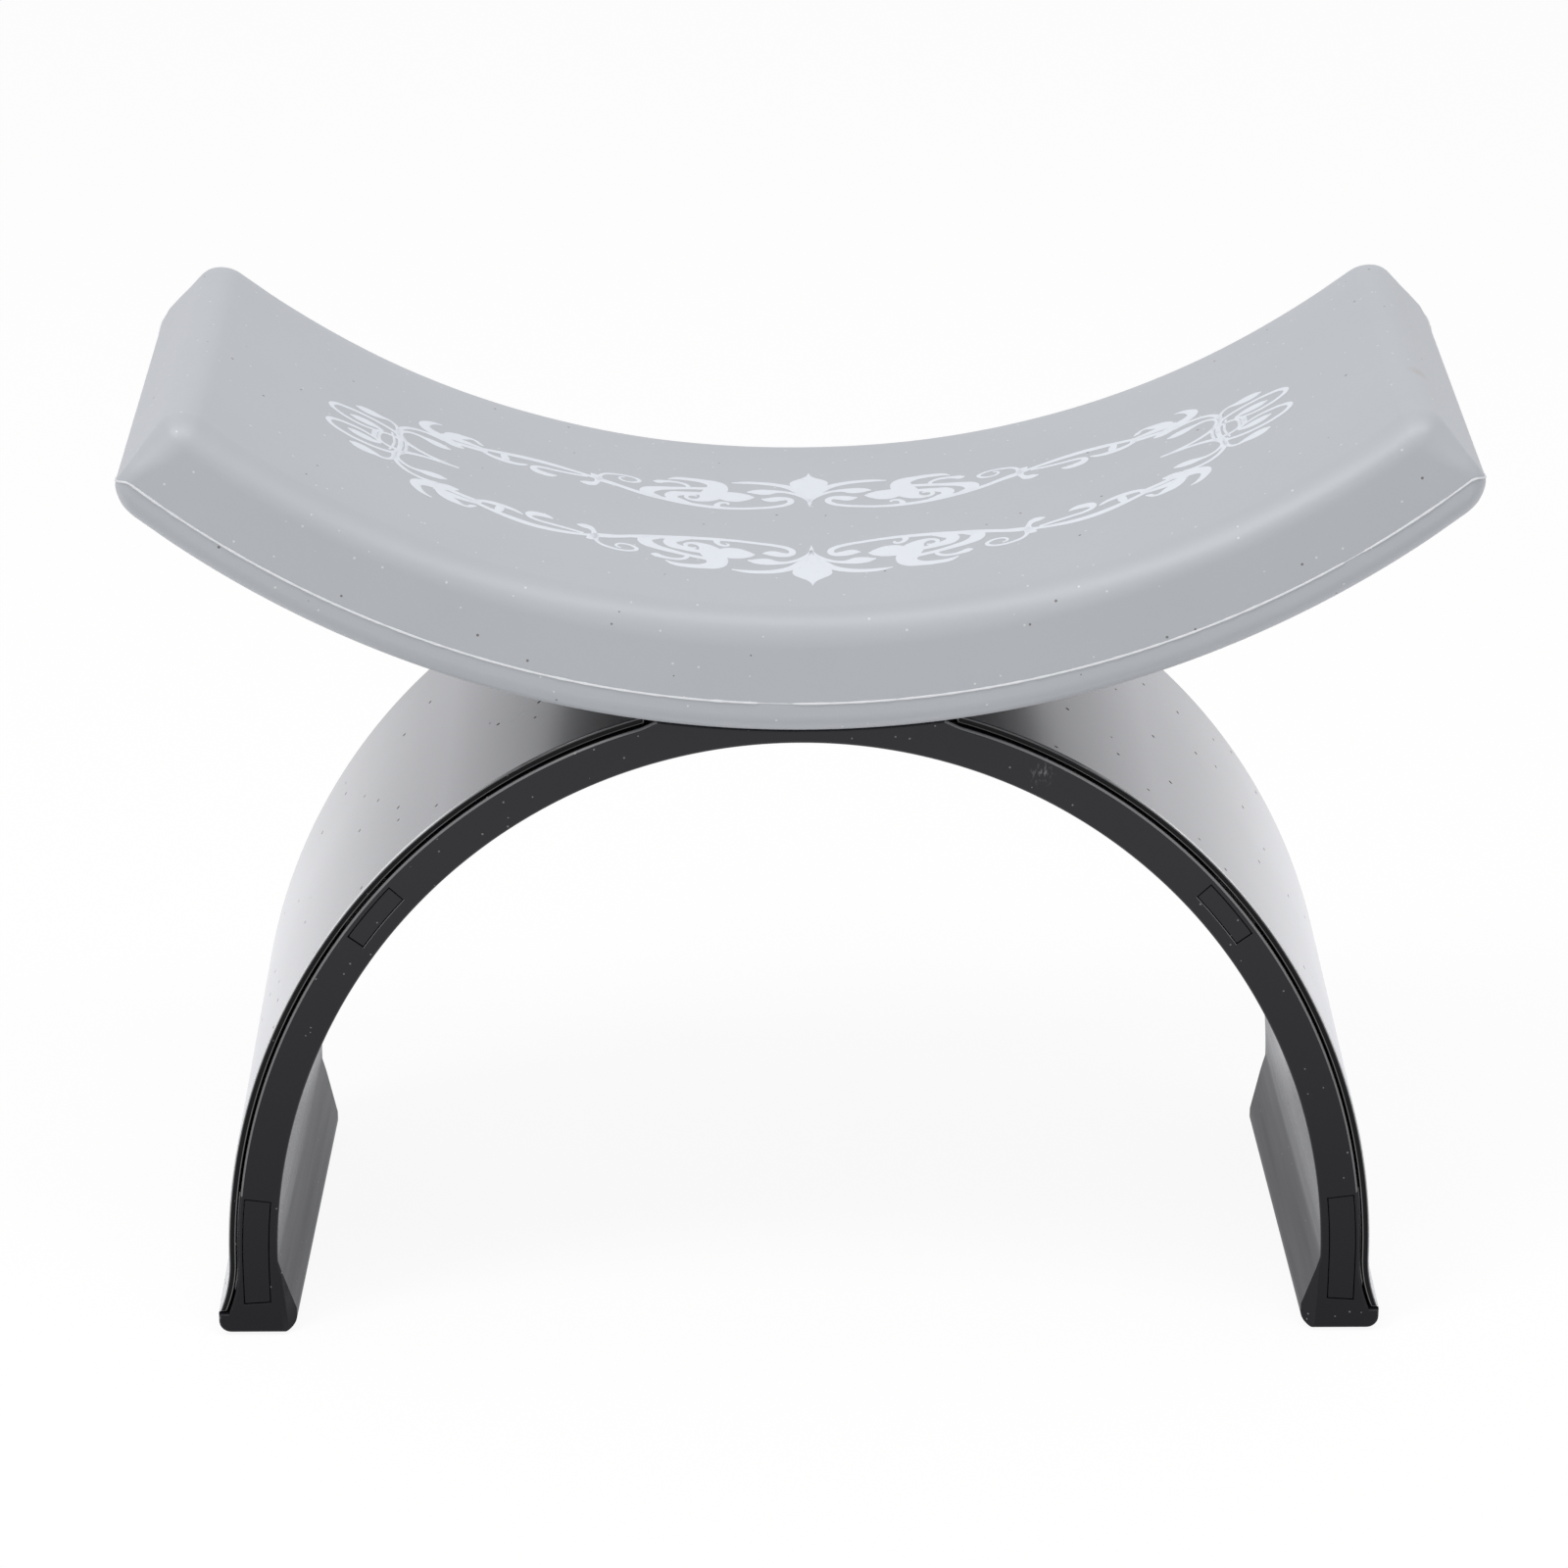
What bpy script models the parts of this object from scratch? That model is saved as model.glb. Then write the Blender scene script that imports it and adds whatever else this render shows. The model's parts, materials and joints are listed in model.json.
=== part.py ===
"""Manicure hand rest: a curved cushion that lifts off a black arch-shaped stand.

X runs along the arm trough, Y from front (-) to back (+), Z up.
The origin is on the table, under the middle of the stand. Lengths are in metres.
"""

import bpy
import bmesh
from math import acos, asin, ceil, cos, pi, radians, sin, sqrt
from mathutils import Vector

# Stand: the arch's line is half an ellipse on two short straight legs
ARCH_SPAN = 0.2000            # inside width between the legs
ARCH_RISE = 0.1090            # inside height of the curved part
SPRING_HEIGHT = 0.0142        # height of the straight legs above the soles
CUSHION_OVERHANG = 0.0039     # how far the cushion stands over the arch, front and back
INNER_DRAFT = 0.0026          # how much closer the arch's inside comes in at the back, on each side
BAND_WIDTH = 0.0076           # width of the front band, across the arch's line
BAND_THICKNESS = 0.0030       # thickness of those bands, front to back
INNER_WALL = 0.0018           # wall under the arch, between the bands
WEB_THICKNESS = 0.0018        # lengthwise webs and cross ribs inside the channel
WEB_COUNT = 3
RIB_PITCH = 0.0245            # distance from one cross rib to the next, along the arch
BLOCK_START = 0.0365          # half width of the solid block that carries the cushion
RIM_ROUNDING = 0.0009         # rounded rims of the bands

# Feet
FOOT_INNER = 0.0030           # how far a foot spreads inwards
FOOT_OUTER = 0.0023           # how far it spreads outwards
FOOT_FLARE = 0.0115           # height of the spreading part
SOLE_HEIGHT = 0.0040          # height of the foot under the outer cover
FOOT_ROUNDING = 0.0023        # rounded lower edges
POCKET_FLOOR = 0.0016         # sole's thickness over the pad recess

# Non-slip pads under the feet
PAD_WIDTH = 0.0090
PAD_LENGTH = 0.0300
PAD_SPACING = 0.0500          # front pad to back pad, centre to centre
PAD_RECESS = 0.0014
PAD_PROUD = 0.0006            # how far a pad stands below the sole
PAD_ROUNDING = 0.0012

# Outer covers, one over each side of the arch
COVER_THICKNESS = 0.0016
COVER_GAP = 0.0003            # between the bands and a cover
COVER_SETBACK = 0.0008        # cover's edge behind the face of the band
COVER_ROUNDING = 0.0004
COVER_END_CLEARANCE = 0.0018  # from the cushion's underside to the end of a cover

# Snap tabs of the covers and their windows in the bands
TAB_ARM = 0.0018              # thickness of a tab's arm
TAB_RECESS = 0.0002           # nose of a tab behind the face of the band
TAB_GAP = 0.0003
UPPER_WINDOW_HEIGHT = 0.0883  # middle of the upper windows above the soles
UPPER_WINDOW_LENGTH = 0.0132
UPPER_WINDOW_INSET = 0.0028   # from the inside of the arch
UPPER_WINDOW_WIDTH = 0.0036
LOWER_WINDOW_HEIGHT = 0.0176
LOWER_WINDOW_LENGTH = 0.0224
LOWER_WINDOW_INSET = 0.0021
LOWER_WINDOW_WIDTH = 0.0047

# Cradle at the crown of the arch
CROWN_WALL = 0.0028           # thinnest part, in the middle
SEAT_GAP = 0.0003             # between the cradle and the cushion
CRADLE_INSET = 0.0011         # cradle's edge inside the line where cover and cushion would meet
CURL_RUN = 0.0042             # length of the curl from the cradle down to the band

# Cushion: a slab bent round an axis above it, with its ends raised
CUSHION_RADIUS = 0.1960       # underside
CUSHION_THICKNESS = 0.0230
CUSHION_ARC = 0.2646          # length along the mould's parting line
CUSHION_DEPTH = 0.0958
PARTING_HEIGHT = 0.0068       # parting line above the underside
CUSHION_CROWN = 0.0012        # swell of the middle over the rim
SIDE_DRAFT = 0.0008           # sides lean in from the parting line to the top
TOP_ROUNDING = 0.0060
BOTTOM_ROUNDING = 0.0042
CORNER_ROUNDING = 0.0065

# Sleeve, core and base plate of the cushion
SLEEVE_WALL = 0.0030
LIP_THICKNESS = 0.0028        # sleeve's lip under the base plate
LIP_WIDTH = 0.0140
INNER_GAP = 0.0003            # between sleeve, core and plate
FLANGE_THICKNESS = 0.0020
PAN_FLOOR = 0.0024
PAN_WALL = 0.0020

# Pegs of the base plate, which drop into sockets in the cradle
PEG_RADIUS = 0.0030
PEG_REACH = 0.0046            # below the cushion's underside
PEG_ACROSS = 0.0480           # spacing along X
PEG_INSET = 0.0039            # middle of a peg from the front or back edge of the sleeve's opening
SOCKET_GAP = 0.0003
SOCKET_BOTTOM_GAP = 0.0005

# Overrun of a cut past the face it opens, or of a joined piece into its neighbour
OVERRUN = 0.0010

# Fineness of the curves
ARCH_STEP = radians(4.0)
BEND_STEP = radians(3.4)
ROUND_SEGMENTS = 3
RIM_SEGMENTS = 2
PEG_SEGMENTS = 20
CREASE_ANGLE = radians(35.0)
CURL_STEP_SHARE = 0.2
CROWN_LOOP_SHARES = (-0.6, -0.25, 0, 0.25, 0.6)
TOLERANCE_SHARE = 0.001

ARCH_DEPTH = CUSHION_DEPTH - 2 * CUSHION_OVERHANG
SOLE_Z = PAD_PROUD
SPRING_Z = SOLE_Z + SPRING_HEIGHT
COVER_INSIDE = BAND_WIDTH + COVER_GAP
COVER_OUTSIDE = COVER_INSIDE + COVER_THICKNESS
BAND_INNER_Y = ARCH_DEPTH / 2 - BAND_THICKNESS
LEDGE_Z = SOLE_Z + SOLE_HEIGHT
FLARE_TOP_Z = LEDGE_Z + FOOT_FLARE
FOOT_IN_X = ARCH_SPAN / 2 - FOOT_INNER
FOOT_OUT_X = ARCH_SPAN / 2 + COVER_OUTSIDE + FOOT_OUTER
SEAT_RADIUS = CUSHION_RADIUS + SEAT_GAP
BEND_Z = SPRING_Z + ARCH_RISE + CROWN_WALL + SEAT_RADIUS
PARTING_RADIUS = CUSHION_RADIUS - PARTING_HEIGHT
CAVITY_ARC = CUSHION_ARC - 2 * SLEEVE_WALL
CAVITY_DEPTH = CUSHION_DEPTH - 2 * SLEEVE_WALL - 2 * SIDE_DRAFT
CAVITY_TOP = CUSHION_THICKNESS - SLEEVE_WALL
OPENING_ARC = CUSHION_ARC - 2 * LIP_WIDTH
OPENING_DEPTH = CUSHION_DEPTH - 2 * LIP_WIDTH
PEG_ALONG = OPENING_DEPTH - 2 * PEG_INSET
FLANGE_LOW = LIP_THICKNESS + INNER_GAP
FLANGE_TOP = FLANGE_LOW + FLANGE_THICKNESS

BLACK_ABS = ("black_abs", (0.022, 0.022, 0.025), 0.38)
GLOSS_ABS = ("gloss_abs", (0.016, 0.016, 0.018), 0.14)
GREY_SILICONE = ("grey_silicone", (0.52, 0.55, 0.58), 0.55)
CREAM_FOAM = ("cream_foam", (0.78, 0.74, 0.62), 0.95)
GREY_ABS = ("grey_abs", (0.30, 0.30, 0.31), 0.45)
BLACK_RUBBER = ("black_rubber", (0.03, 0.03, 0.03), 0.85)


def clear_scene():
    for thing in list(bpy.data.objects):
        bpy.data.objects.remove(thing, do_unlink=True)


def material(finish):
    name, colour, roughness = finish
    made = bpy.data.materials.get(name) or bpy.data.materials.new(name)
    made.use_nodes = True
    shader = made.node_tree.nodes["Principled BSDF"]
    shader.inputs["Base Color"].default_value = (*colour, 1.0)
    shader.inputs["Roughness"].default_value = roughness
    return made


def new_object(name, shape, finish=None):
    """Turn a bmesh into a linked object, smooth where its faces meet gently."""
    bmesh.ops.recalc_face_normals(shape, faces=shape.faces)
    mesh = bpy.data.meshes.new(name)
    shape.to_mesh(mesh)
    shape.free()
    mesh.shade_smooth()
    mesh.set_sharp_from_angle(angle=CREASE_ANGLE)
    made = bpy.data.objects.new(name, mesh)
    bpy.context.scene.collection.objects.link(made)
    if finish:
        mesh.materials.append(material(finish))
    return made


def tool_object(name, shape):
    """A cutter, or a piece that is joined to another: a guide that isn't part of the model."""
    made = new_object(name, shape)
    made.hide_render = True
    made.display_type = 'WIRE'
    return made


def combine(target, tool, operation):
    step = target.modifiers.new(tool.name, 'BOOLEAN')
    step.operation = operation
    step.solver = 'EXACT'
    step.object = tool


# Points on the stand, seen from the front

def arch_point(offset, turn):
    """Point outside the arch's inner line; turn 0 is the springing, and below it the leg is straight."""
    across = ARCH_SPAN / 2 + offset
    rise = ARCH_RISE + offset
    if turn < 0:
        return Vector((across, SPRING_Z + rise * turn))
    return Vector((across * cos(turn), SPRING_Z + rise * sin(turn)))


def turn_at_height(offset, height):
    share = (height - SPRING_Z) / (ARCH_RISE + offset)
    return share if share < 0 else asin(min(share, 1.0))


def turn_at_across(offset, across):
    return acos(across / (ARCH_SPAN / 2 + offset))


def spread(first, last, step):
    """Evenly spaced values from first to last, no further apart than step."""
    count = max(1, ceil(abs(last - first) / step))
    return [first + (last - first) * i / count for i in range(count + 1)]


def arch_run(offset, first, last):
    """Points along one line of the arch, between two turns."""
    if first * last < 0:
        turns = spread(first, 0, ARCH_STEP)[:-1] + spread(0, last, ARCH_STEP)
    else:
        turns = spread(first, last, ARCH_STEP)
    return [arch_point(offset, turn) for turn in turns]


def seat_height(across):
    """Height of the cradle under the cushion."""
    return BEND_Z - sqrt(SEAT_RADIUS ** 2 - across ** 2)


def meeting_across():
    """Half width at which the outer cover's line meets the cradle's."""
    low, high = 0, ARCH_SPAN / 2
    while high - low > OVERRUN * TOLERANCE_SHARE:
        middle = (low + high) / 2
        cover = arch_point(COVER_OUTSIDE, turn_at_across(COVER_OUTSIDE, middle))
        if cover.y > seat_height(middle):
            low = middle
        else:
            high = middle
    return low


def cradle_half():
    return meeting_across() - CRADLE_INSET


def rounded_corner(before, corner, after, radius):
    """Points of an arc that replaces a corner."""
    arms = [(point - corner).normalized() for point in (before, after)]
    half = arms[0].angle(arms[1]) / 2
    reach = radius / sin(half) * cos(half)
    centre = corner + (arms[0] + arms[1]).normalized() * (radius / sin(half))
    start = corner + arms[0] * reach - centre
    end = corner + arms[1] * reach - centre
    points = []
    for i in range(ROUND_SEGMENTS + 1):
        mix = start.slerp(end, i / ROUND_SEGMENTS)
        points.append(centre + mix.normalized() * radius)
    return points


def mirrored_loop(half):
    """Closed outline from its right half, whose first and last points lie on the middle line."""
    return half + [Vector((-point.x, point.y)) for point in reversed(half[1:-1])]


def prism(front, back, half_depth):
    """Solid between two outlines with as many points, in the front and back planes."""
    shape = bmesh.new()
    near = [shape.verts.new((point.x, -half_depth, point.y)) for point in front]
    far = [shape.verts.new((point.x, half_depth, point.y)) for point in back]
    shape.faces.new(near)
    shape.faces.new(far)
    for i in range(len(near)):
        shape.faces.new((near[i - 1], near[i], far[i], far[i - 1]))
    return shape


def round_edges(shape, edges, radius, segments):
    bmesh.ops.bevel(shape, geom=edges, offset=radius, segments=segments, profile=0.5,
                    affect='EDGES', clamp_overlap=False, material=-1)


def round_rims(shape, radius):
    """Round the edges of a prism's front and back faces."""
    rims = [edge for edge in shape.edges if abs(edge.verts[0].co.y - edge.verts[1].co.y) < radius / 2]
    round_edges(shape, rims, radius, RIM_SEGMENTS)


def upright_edges(shape, least):
    return [edge for edge in shape.edges if abs(edge.verts[0].co.z - edge.verts[1].co.z) > least]


def rim_edges(shape, height, slack):
    """Edges at one height where a flat face meets a wall."""
    level = [edge for edge in shape.edges if all(abs(vert.co.z - height) < slack for vert in edge.verts)]
    return [edge for edge in level
            if abs(edge.link_faces[0].normal.z - edge.link_faces[1].normal.z) > sin(CREASE_ANGLE)]


def swept(shape, profile, turns, side):
    """Add a closed solid to shape: profile, as (offset, y) points, carried along the arch."""
    rings = []
    for turn in turns:
        ring = []
        for offset, y in profile:
            point = arch_point(offset, turn)
            ring.append(shape.verts.new((side * point.x, y, point.y)))
        rings.append(ring)
    count = len(profile)
    for low, high in zip(rings, rings[1:]):
        for i in range(count):
            shape.faces.new((low[i], low[(i + 1) % count], high[(i + 1) % count], high[i]))
    shape.faces.new(rings[0])
    shape.faces.new(rings[-1])


def box_profile(low, high, low_y, high_y):
    return [(low, low_y), (high, low_y), (high, high_y), (low, high_y)]


# Stand

def foot_outline(inner_x):
    """Right foot, from the ledge inside the arch round the sole to the ledge under the cover."""
    points = [Vector((inner_x, LEDGE_Z)), Vector((inner_x, SOLE_Z)),
              Vector((FOOT_OUT_X, SOLE_Z)), Vector((FOOT_OUT_X, LEDGE_Z))]
    outline = points[:1]
    outline += rounded_corner(points[0], points[1], points[2], FOOT_ROUNDING)
    outline += rounded_corner(points[1], points[2], points[3], FOOT_ROUNDING)
    outline.append(points[3])
    return outline


def frame_outline(draft):
    """Outline of the arch frame: inner line moved in by the draft, feet, band line, curl and cradle."""
    inner = arch_run(-draft, pi / 2, turn_at_height(0, FLARE_TOP_Z))
    flare_start = turn_at_height(BAND_WIDTH, FLARE_TOP_Z)
    curl_start = cradle_half() + CURL_RUN
    band = arch_run(BAND_WIDTH, flare_start, turn_at_across(BAND_WIDTH, curl_start))
    curl = []
    for share in spread(0, 1, CURL_STEP_SHARE)[1:]:
        across = curl_start - CURL_RUN * share
        line = arch_point(BAND_WIDTH, turn_at_across(BAND_WIDTH, across)).y
        curl.append(Vector((across, line + (seat_height(across) - line) * share ** 2)))
    cradle_step = ARCH_SPAN / 2 * ARCH_STEP
    cradle = [Vector((across, seat_height(across))) for across in spread(cradle_half(), 0, cradle_step)[1:]]
    ledge = Vector((FOOT_OUT_X - COVER_THICKNESS - COVER_GAP, LEDGE_Z))
    return mirrored_loop(inner + foot_outline(FOOT_IN_X - draft) + [ledge] + band + curl + cradle)


def web_lanes():
    """Front and back limits of the channel's lanes, between the lengthwise webs."""
    lane = (2 * BAND_INNER_Y - WEB_COUNT * WEB_THICKNESS) / (WEB_COUNT + 1)
    starts = [-BAND_INNER_Y + i * (lane + WEB_THICKNESS) for i in range(WEB_COUNT + 1)]
    return [(start, start + lane) for start in starts]


def pocket_rows():
    """First and last turns of the channel's pockets, between the cross ribs."""
    first = turn_at_height(BAND_WIDTH, LEDGE_Z + POCKET_FLOOR)
    top_of_first = turn_at_height(BAND_WIDTH, SOLE_Z + LOWER_WINDOW_HEIGHT + LOWER_WINDOW_LENGTH / 2
                                  + WEB_THICKNESS)
    last = turn_at_across(BAND_WIDTH, BLOCK_START)
    arch_size = (ARCH_SPAN / 2 + ARCH_RISE) / 2 + BAND_WIDTH
    rib = WEB_THICKNESS / arch_size
    marks = spread(top_of_first, last, RIB_PITCH / arch_size)
    rows = [(first, top_of_first)]
    rows += [(low + rib, high) for low, high in zip(marks, marks[1:])]
    return rows


def pocket_floor(y):
    """Offset of the channel's floor, which follows the draft of the arch's inside."""
    return INNER_WALL - INNER_DRAFT * (y / ARCH_DEPTH + 0.5)


def channel_pockets():
    shape = bmesh.new()
    outer = COVER_OUTSIDE + FOOT_OUTER
    for low, high in pocket_rows():
        for low_y, high_y in web_lanes():
            profile = [(pocket_floor(low_y), low_y), (outer, low_y),
                       (outer, high_y), (pocket_floor(high_y), high_y)]
            for side in (1, -1):
                swept(shape, profile, spread(low, high, ARCH_STEP), side)
    return shape


def window_sizes():
    """Each window: middle height, length, inset and width."""
    return [(SOLE_Z + UPPER_WINDOW_HEIGHT, UPPER_WINDOW_LENGTH, UPPER_WINDOW_INSET, UPPER_WINDOW_WIDTH),
            (SOLE_Z + LOWER_WINDOW_HEIGHT, LOWER_WINDOW_LENGTH, LOWER_WINDOW_INSET, LOWER_WINDOW_WIDTH)]


def window_turns(height, length, inset, width, gap):
    middle = turn_at_height(inset + width / 2, height)
    half = (length / 2 - gap) / (ARCH_RISE + inset + width / 2)
    return spread(middle - half, middle + half, ARCH_STEP)


def windows():
    shape = bmesh.new()
    for height, length, inset, width in window_sizes():
        turns = window_turns(height, length, inset, width, 0)
        for low_y in (-ARCH_DEPTH / 2 - OVERRUN, BAND_INNER_Y - OVERRUN):
            profile = box_profile(inset, inset + width, low_y, low_y + BAND_THICKNESS + 2 * OVERRUN)
            for side in (1, -1):
                swept(shape, profile, turns, side)
    return shape


def peg_places():
    return [(x * PEG_ACROSS / 2, y * PEG_ALONG / 2) for x in (1, -1) for y in (1, -1)]


def peg_bottom():
    return BEND_Z - sqrt(CUSHION_RADIUS ** 2 - (PEG_ACROSS / 2) ** 2) - PEG_REACH


def peg_shapes(radius, low_z, high_z):
    shape = bmesh.new()
    for x, y in peg_places():
        made = bmesh.ops.create_cone(shape, cap_ends=True, segments=PEG_SEGMENTS,
                                     radius1=radius, radius2=radius, depth=high_z - low_z)
        bmesh.ops.translate(shape, vec=(x, y, (low_z + high_z) / 2), verts=made["verts"])
    return shape


def pad_places():
    middle = (FOOT_IN_X + FOOT_OUT_X) / 2
    return [(side * middle, end * PAD_SPACING / 2) for side in (-1, 1) for end in (-1, 1)]


def pad_shape(x, y, gap, low_z, high_z):
    """Rounded strip; gap is taken off all round."""
    shape = bmesh.new()
    bmesh.ops.create_cube(shape, size=1)
    size = (PAD_WIDTH - 2 * gap, PAD_LENGTH - 2 * gap, high_z - low_z)
    bmesh.ops.scale(shape, vec=size, verts=shape.verts)
    bmesh.ops.translate(shape, vec=(x, y, (low_z + high_z) / 2), verts=shape.verts)
    round_edges(shape, upright_edges(shape, (high_z - low_z) / 2), PAD_ROUNDING, ROUND_SEGMENTS)
    return shape


def join(shapes):
    """Gather separate solids in one bmesh."""
    gathered = bmesh.new()
    for shape in shapes:
        mesh = bpy.data.meshes.new("gathered")
        shape.to_mesh(mesh)
        shape.free()
        gathered.from_mesh(mesh)
        bpy.data.meshes.remove(mesh)
    return gathered


def make_frame():
    shape = prism(frame_outline(0), frame_outline(INNER_DRAFT), ARCH_DEPTH / 2)
    round_rims(shape, RIM_ROUNDING)
    frame = new_object("arch_frame", shape, BLACK_ABS)
    combine(frame, tool_object("channel_pockets", channel_pockets()), 'DIFFERENCE')
    combine(frame, tool_object("tab_windows", windows()), 'DIFFERENCE')
    sockets = peg_shapes(PEG_RADIUS + SOCKET_GAP, peg_bottom() - SOCKET_BOTTOM_GAP, BEND_Z)
    combine(frame, tool_object("peg_sockets", sockets), 'DIFFERENCE')
    recesses = [pad_shape(x, y, 0, SOLE_Z - OVERRUN, SOLE_Z + PAD_RECESS) for x, y in pad_places()]
    combine(frame, tool_object("pad_recesses", join(recesses)), 'DIFFERENCE')


def make_pads():
    for (x, y), name in zip(pad_places(), ("left_front", "left_back", "right_front", "right_back")):
        shape = pad_shape(x, y, SEAT_GAP, 0, SOLE_Z + PAD_RECESS - SEAT_GAP)
        new_object("foot_pad_" + name, shape, BLACK_RUBBER)


def cover_outline():
    """Right cover: outer line from the cradle down to the ledge, and back along its inside."""
    outline = []
    for offset, foot_x in ((COVER_OUTSIDE, FOOT_OUT_X), (COVER_INSIDE, FOOT_OUT_X - COVER_THICKNESS)):
        cover_end = meeting_across() + COVER_END_CLEARANCE
        line = arch_run(offset, turn_at_across(offset, cover_end), turn_at_height(offset, FLARE_TOP_Z))
        line.append(Vector((foot_x, LEDGE_Z + TAB_GAP)))
        outline += line if offset == COVER_OUTSIDE else line[::-1]
    return outline


def tab_shapes(side):
    """The cover's four snap tabs: an arm down the inside of each band, and a nose in its window."""
    shape = bmesh.new()
    arm_y = BAND_INNER_Y - TAB_GAP
    nose_y = ARCH_DEPTH / 2 - TAB_RECESS
    for height, length, inset, width in window_sizes():
        low = inset + TAB_GAP
        high = inset + width - TAB_GAP
        root = (COVER_INSIDE + COVER_OUTSIDE) / 2
        profile = [(low, arm_y - TAB_ARM), (root, arm_y - TAB_ARM), (root, arm_y),
                   (high, arm_y), (high, nose_y), (low, nose_y)]
        turns = window_turns(height, length, inset, width, TAB_GAP)
        swept(shape, profile, turns, side)
        swept(shape, [(offset, -y) for offset, y in profile], turns, side)
    return shape


def make_covers():
    for name, side in (("left", -1), ("right", 1)):
        outline = [Vector((side * point.x, point.y)) for point in cover_outline()]
        shape = prism(outline, outline, ARCH_DEPTH / 2 - COVER_SETBACK)
        round_rims(shape, COVER_ROUNDING)
        cover = new_object("outer_cover_" + name, shape, GLOSS_ABS)
        combine(cover, tool_object("tabs_" + name, tab_shapes(side)), 'UNION')


# Cushion

def slab(length, depth, low, high):
    """Flat block: X along the arc, Y across it, Z up from the cushion's underside."""
    shape = bmesh.new()
    bmesh.ops.create_cube(shape, size=1)
    bmesh.ops.scale(shape, vec=(length, depth, high - low), verts=shape.verts)
    bmesh.ops.translate(shape, vec=(0, 0, (low + high) / 2), verts=shape.verts)
    return shape


def cut_across(shape, axis, places):
    """Add an edge loop at each place along an axis."""
    normal = Vector([1 if i == axis else 0 for i in range(3)])
    for place in places:
        bmesh.ops.bisect_plane(shape, geom=shape.verts[:] + shape.edges[:] + shape.faces[:],
                               plane_co=normal * place, plane_no=normal)


def bend(shape):
    """Bend a flat block round the axis above it, so that its ends stay square to the arc."""
    for vert in shape.verts:
        turn = vert.co.x / PARTING_RADIUS
        radius = CUSHION_RADIUS - vert.co.z
        vert.co.x = radius * sin(turn)
        vert.co.z = BEND_Z - radius * cos(turn)


def bend_cuts(length):
    """Places of the edge loops that bend, the same on every block so that their facets lie parallel."""
    step = BEND_STEP * PARTING_RADIUS
    count = int((length / 2 - OVERRUN) / step)
    return [i * step for i in range(-count, count + 1)]


def sleeve_body():
    """Outer form of the cushion: rounded rims and corners, drafted sides and a low crown."""
    shape = slab(CUSHION_ARC, CUSHION_DEPTH, 0, CUSHION_THICKNESS)
    round_edges(shape, upright_edges(shape, CUSHION_THICKNESS / 2), CORNER_ROUNDING, ROUND_SEGMENTS)
    for height, radius in ((CUSHION_THICKNESS, TOP_ROUNDING), (0, BOTTOM_ROUNDING)):
        round_edges(shape, rim_edges(shape, height, SIDE_DRAFT), radius, ROUND_SEGMENTS)
    cut_across(shape, 2, [PARTING_HEIGHT])
    for vert in shape.verts:
        rise = max(0, vert.co.z - PARTING_HEIGHT) / (CUSHION_THICKNESS - PARTING_HEIGHT)
        vert.co.x *= 1 - rise * 2 * SIDE_DRAFT / CUSHION_ARC
        vert.co.y *= 1 - rise * 2 * SIDE_DRAFT / CUSHION_DEPTH
    cut_across(shape, 1, [share * (CUSHION_DEPTH / 2 - TOP_ROUNDING) for share in CROWN_LOOP_SHARES])
    cut_across(shape, 0, bend_cuts(CUSHION_ARC - 2 * CORNER_ROUNDING))
    top = CUSHION_THICKNESS - SIDE_DRAFT
    for vert in shape.verts:
        if vert.co.z > top:
            along = 1 - (2 * vert.co.x / CUSHION_ARC) ** 2
            across = 1 - (2 * vert.co.y / CUSHION_DEPTH) ** 2
            vert.co.z += CUSHION_CROWN * along * across
    bend(shape)
    return shape


def bent_block(length, depth, low, high):
    shape = slab(length, depth, low, high)
    cut_across(shape, 0, bend_cuts(length))
    bend(shape)
    return shape


def make_sleeve():
    sleeve = new_object("cushion_sleeve", sleeve_body(), GREY_SILICONE)
    cavity = bent_block(CAVITY_ARC, CAVITY_DEPTH, LIP_THICKNESS, CAVITY_TOP)
    combine(sleeve, tool_object("sleeve_cavity", cavity), 'DIFFERENCE')
    opening = bent_block(OPENING_ARC, OPENING_DEPTH, -OVERRUN, LIP_THICKNESS + OVERRUN)
    combine(sleeve, tool_object("sleeve_opening", opening), 'DIFFERENCE')


def make_plate():
    """Base plate: a flange over the sleeve's lip, and a pan that fills the sleeve's opening."""
    flange = bent_block(CAVITY_ARC - 2 * INNER_GAP, CAVITY_DEPTH - 2 * INNER_GAP, FLANGE_LOW, FLANGE_TOP)
    plate = new_object("base_plate", flange, GREY_ABS)
    pan_arc = OPENING_ARC - 2 * INNER_GAP
    pan_depth = OPENING_DEPTH - 2 * INNER_GAP
    pan = bent_block(pan_arc, pan_depth, 0, FLANGE_TOP - FLANGE_THICKNESS / 2)
    combine(plate, tool_object("plate_pan", pan), 'UNION')
    hollow = bent_block(pan_arc - 2 * PAN_WALL, pan_depth - 2 * PAN_WALL, PAN_FLOOR, FLANGE_TOP + OVERRUN)
    combine(plate, tool_object("plate_hollow", hollow), 'DIFFERENCE')
    pegs = peg_shapes(PEG_RADIUS, peg_bottom(), peg_bottom() + PEG_REACH + PAN_FLOOR / 2)
    combine(plate, tool_object("plate_pegs", pegs), 'UNION')


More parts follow.
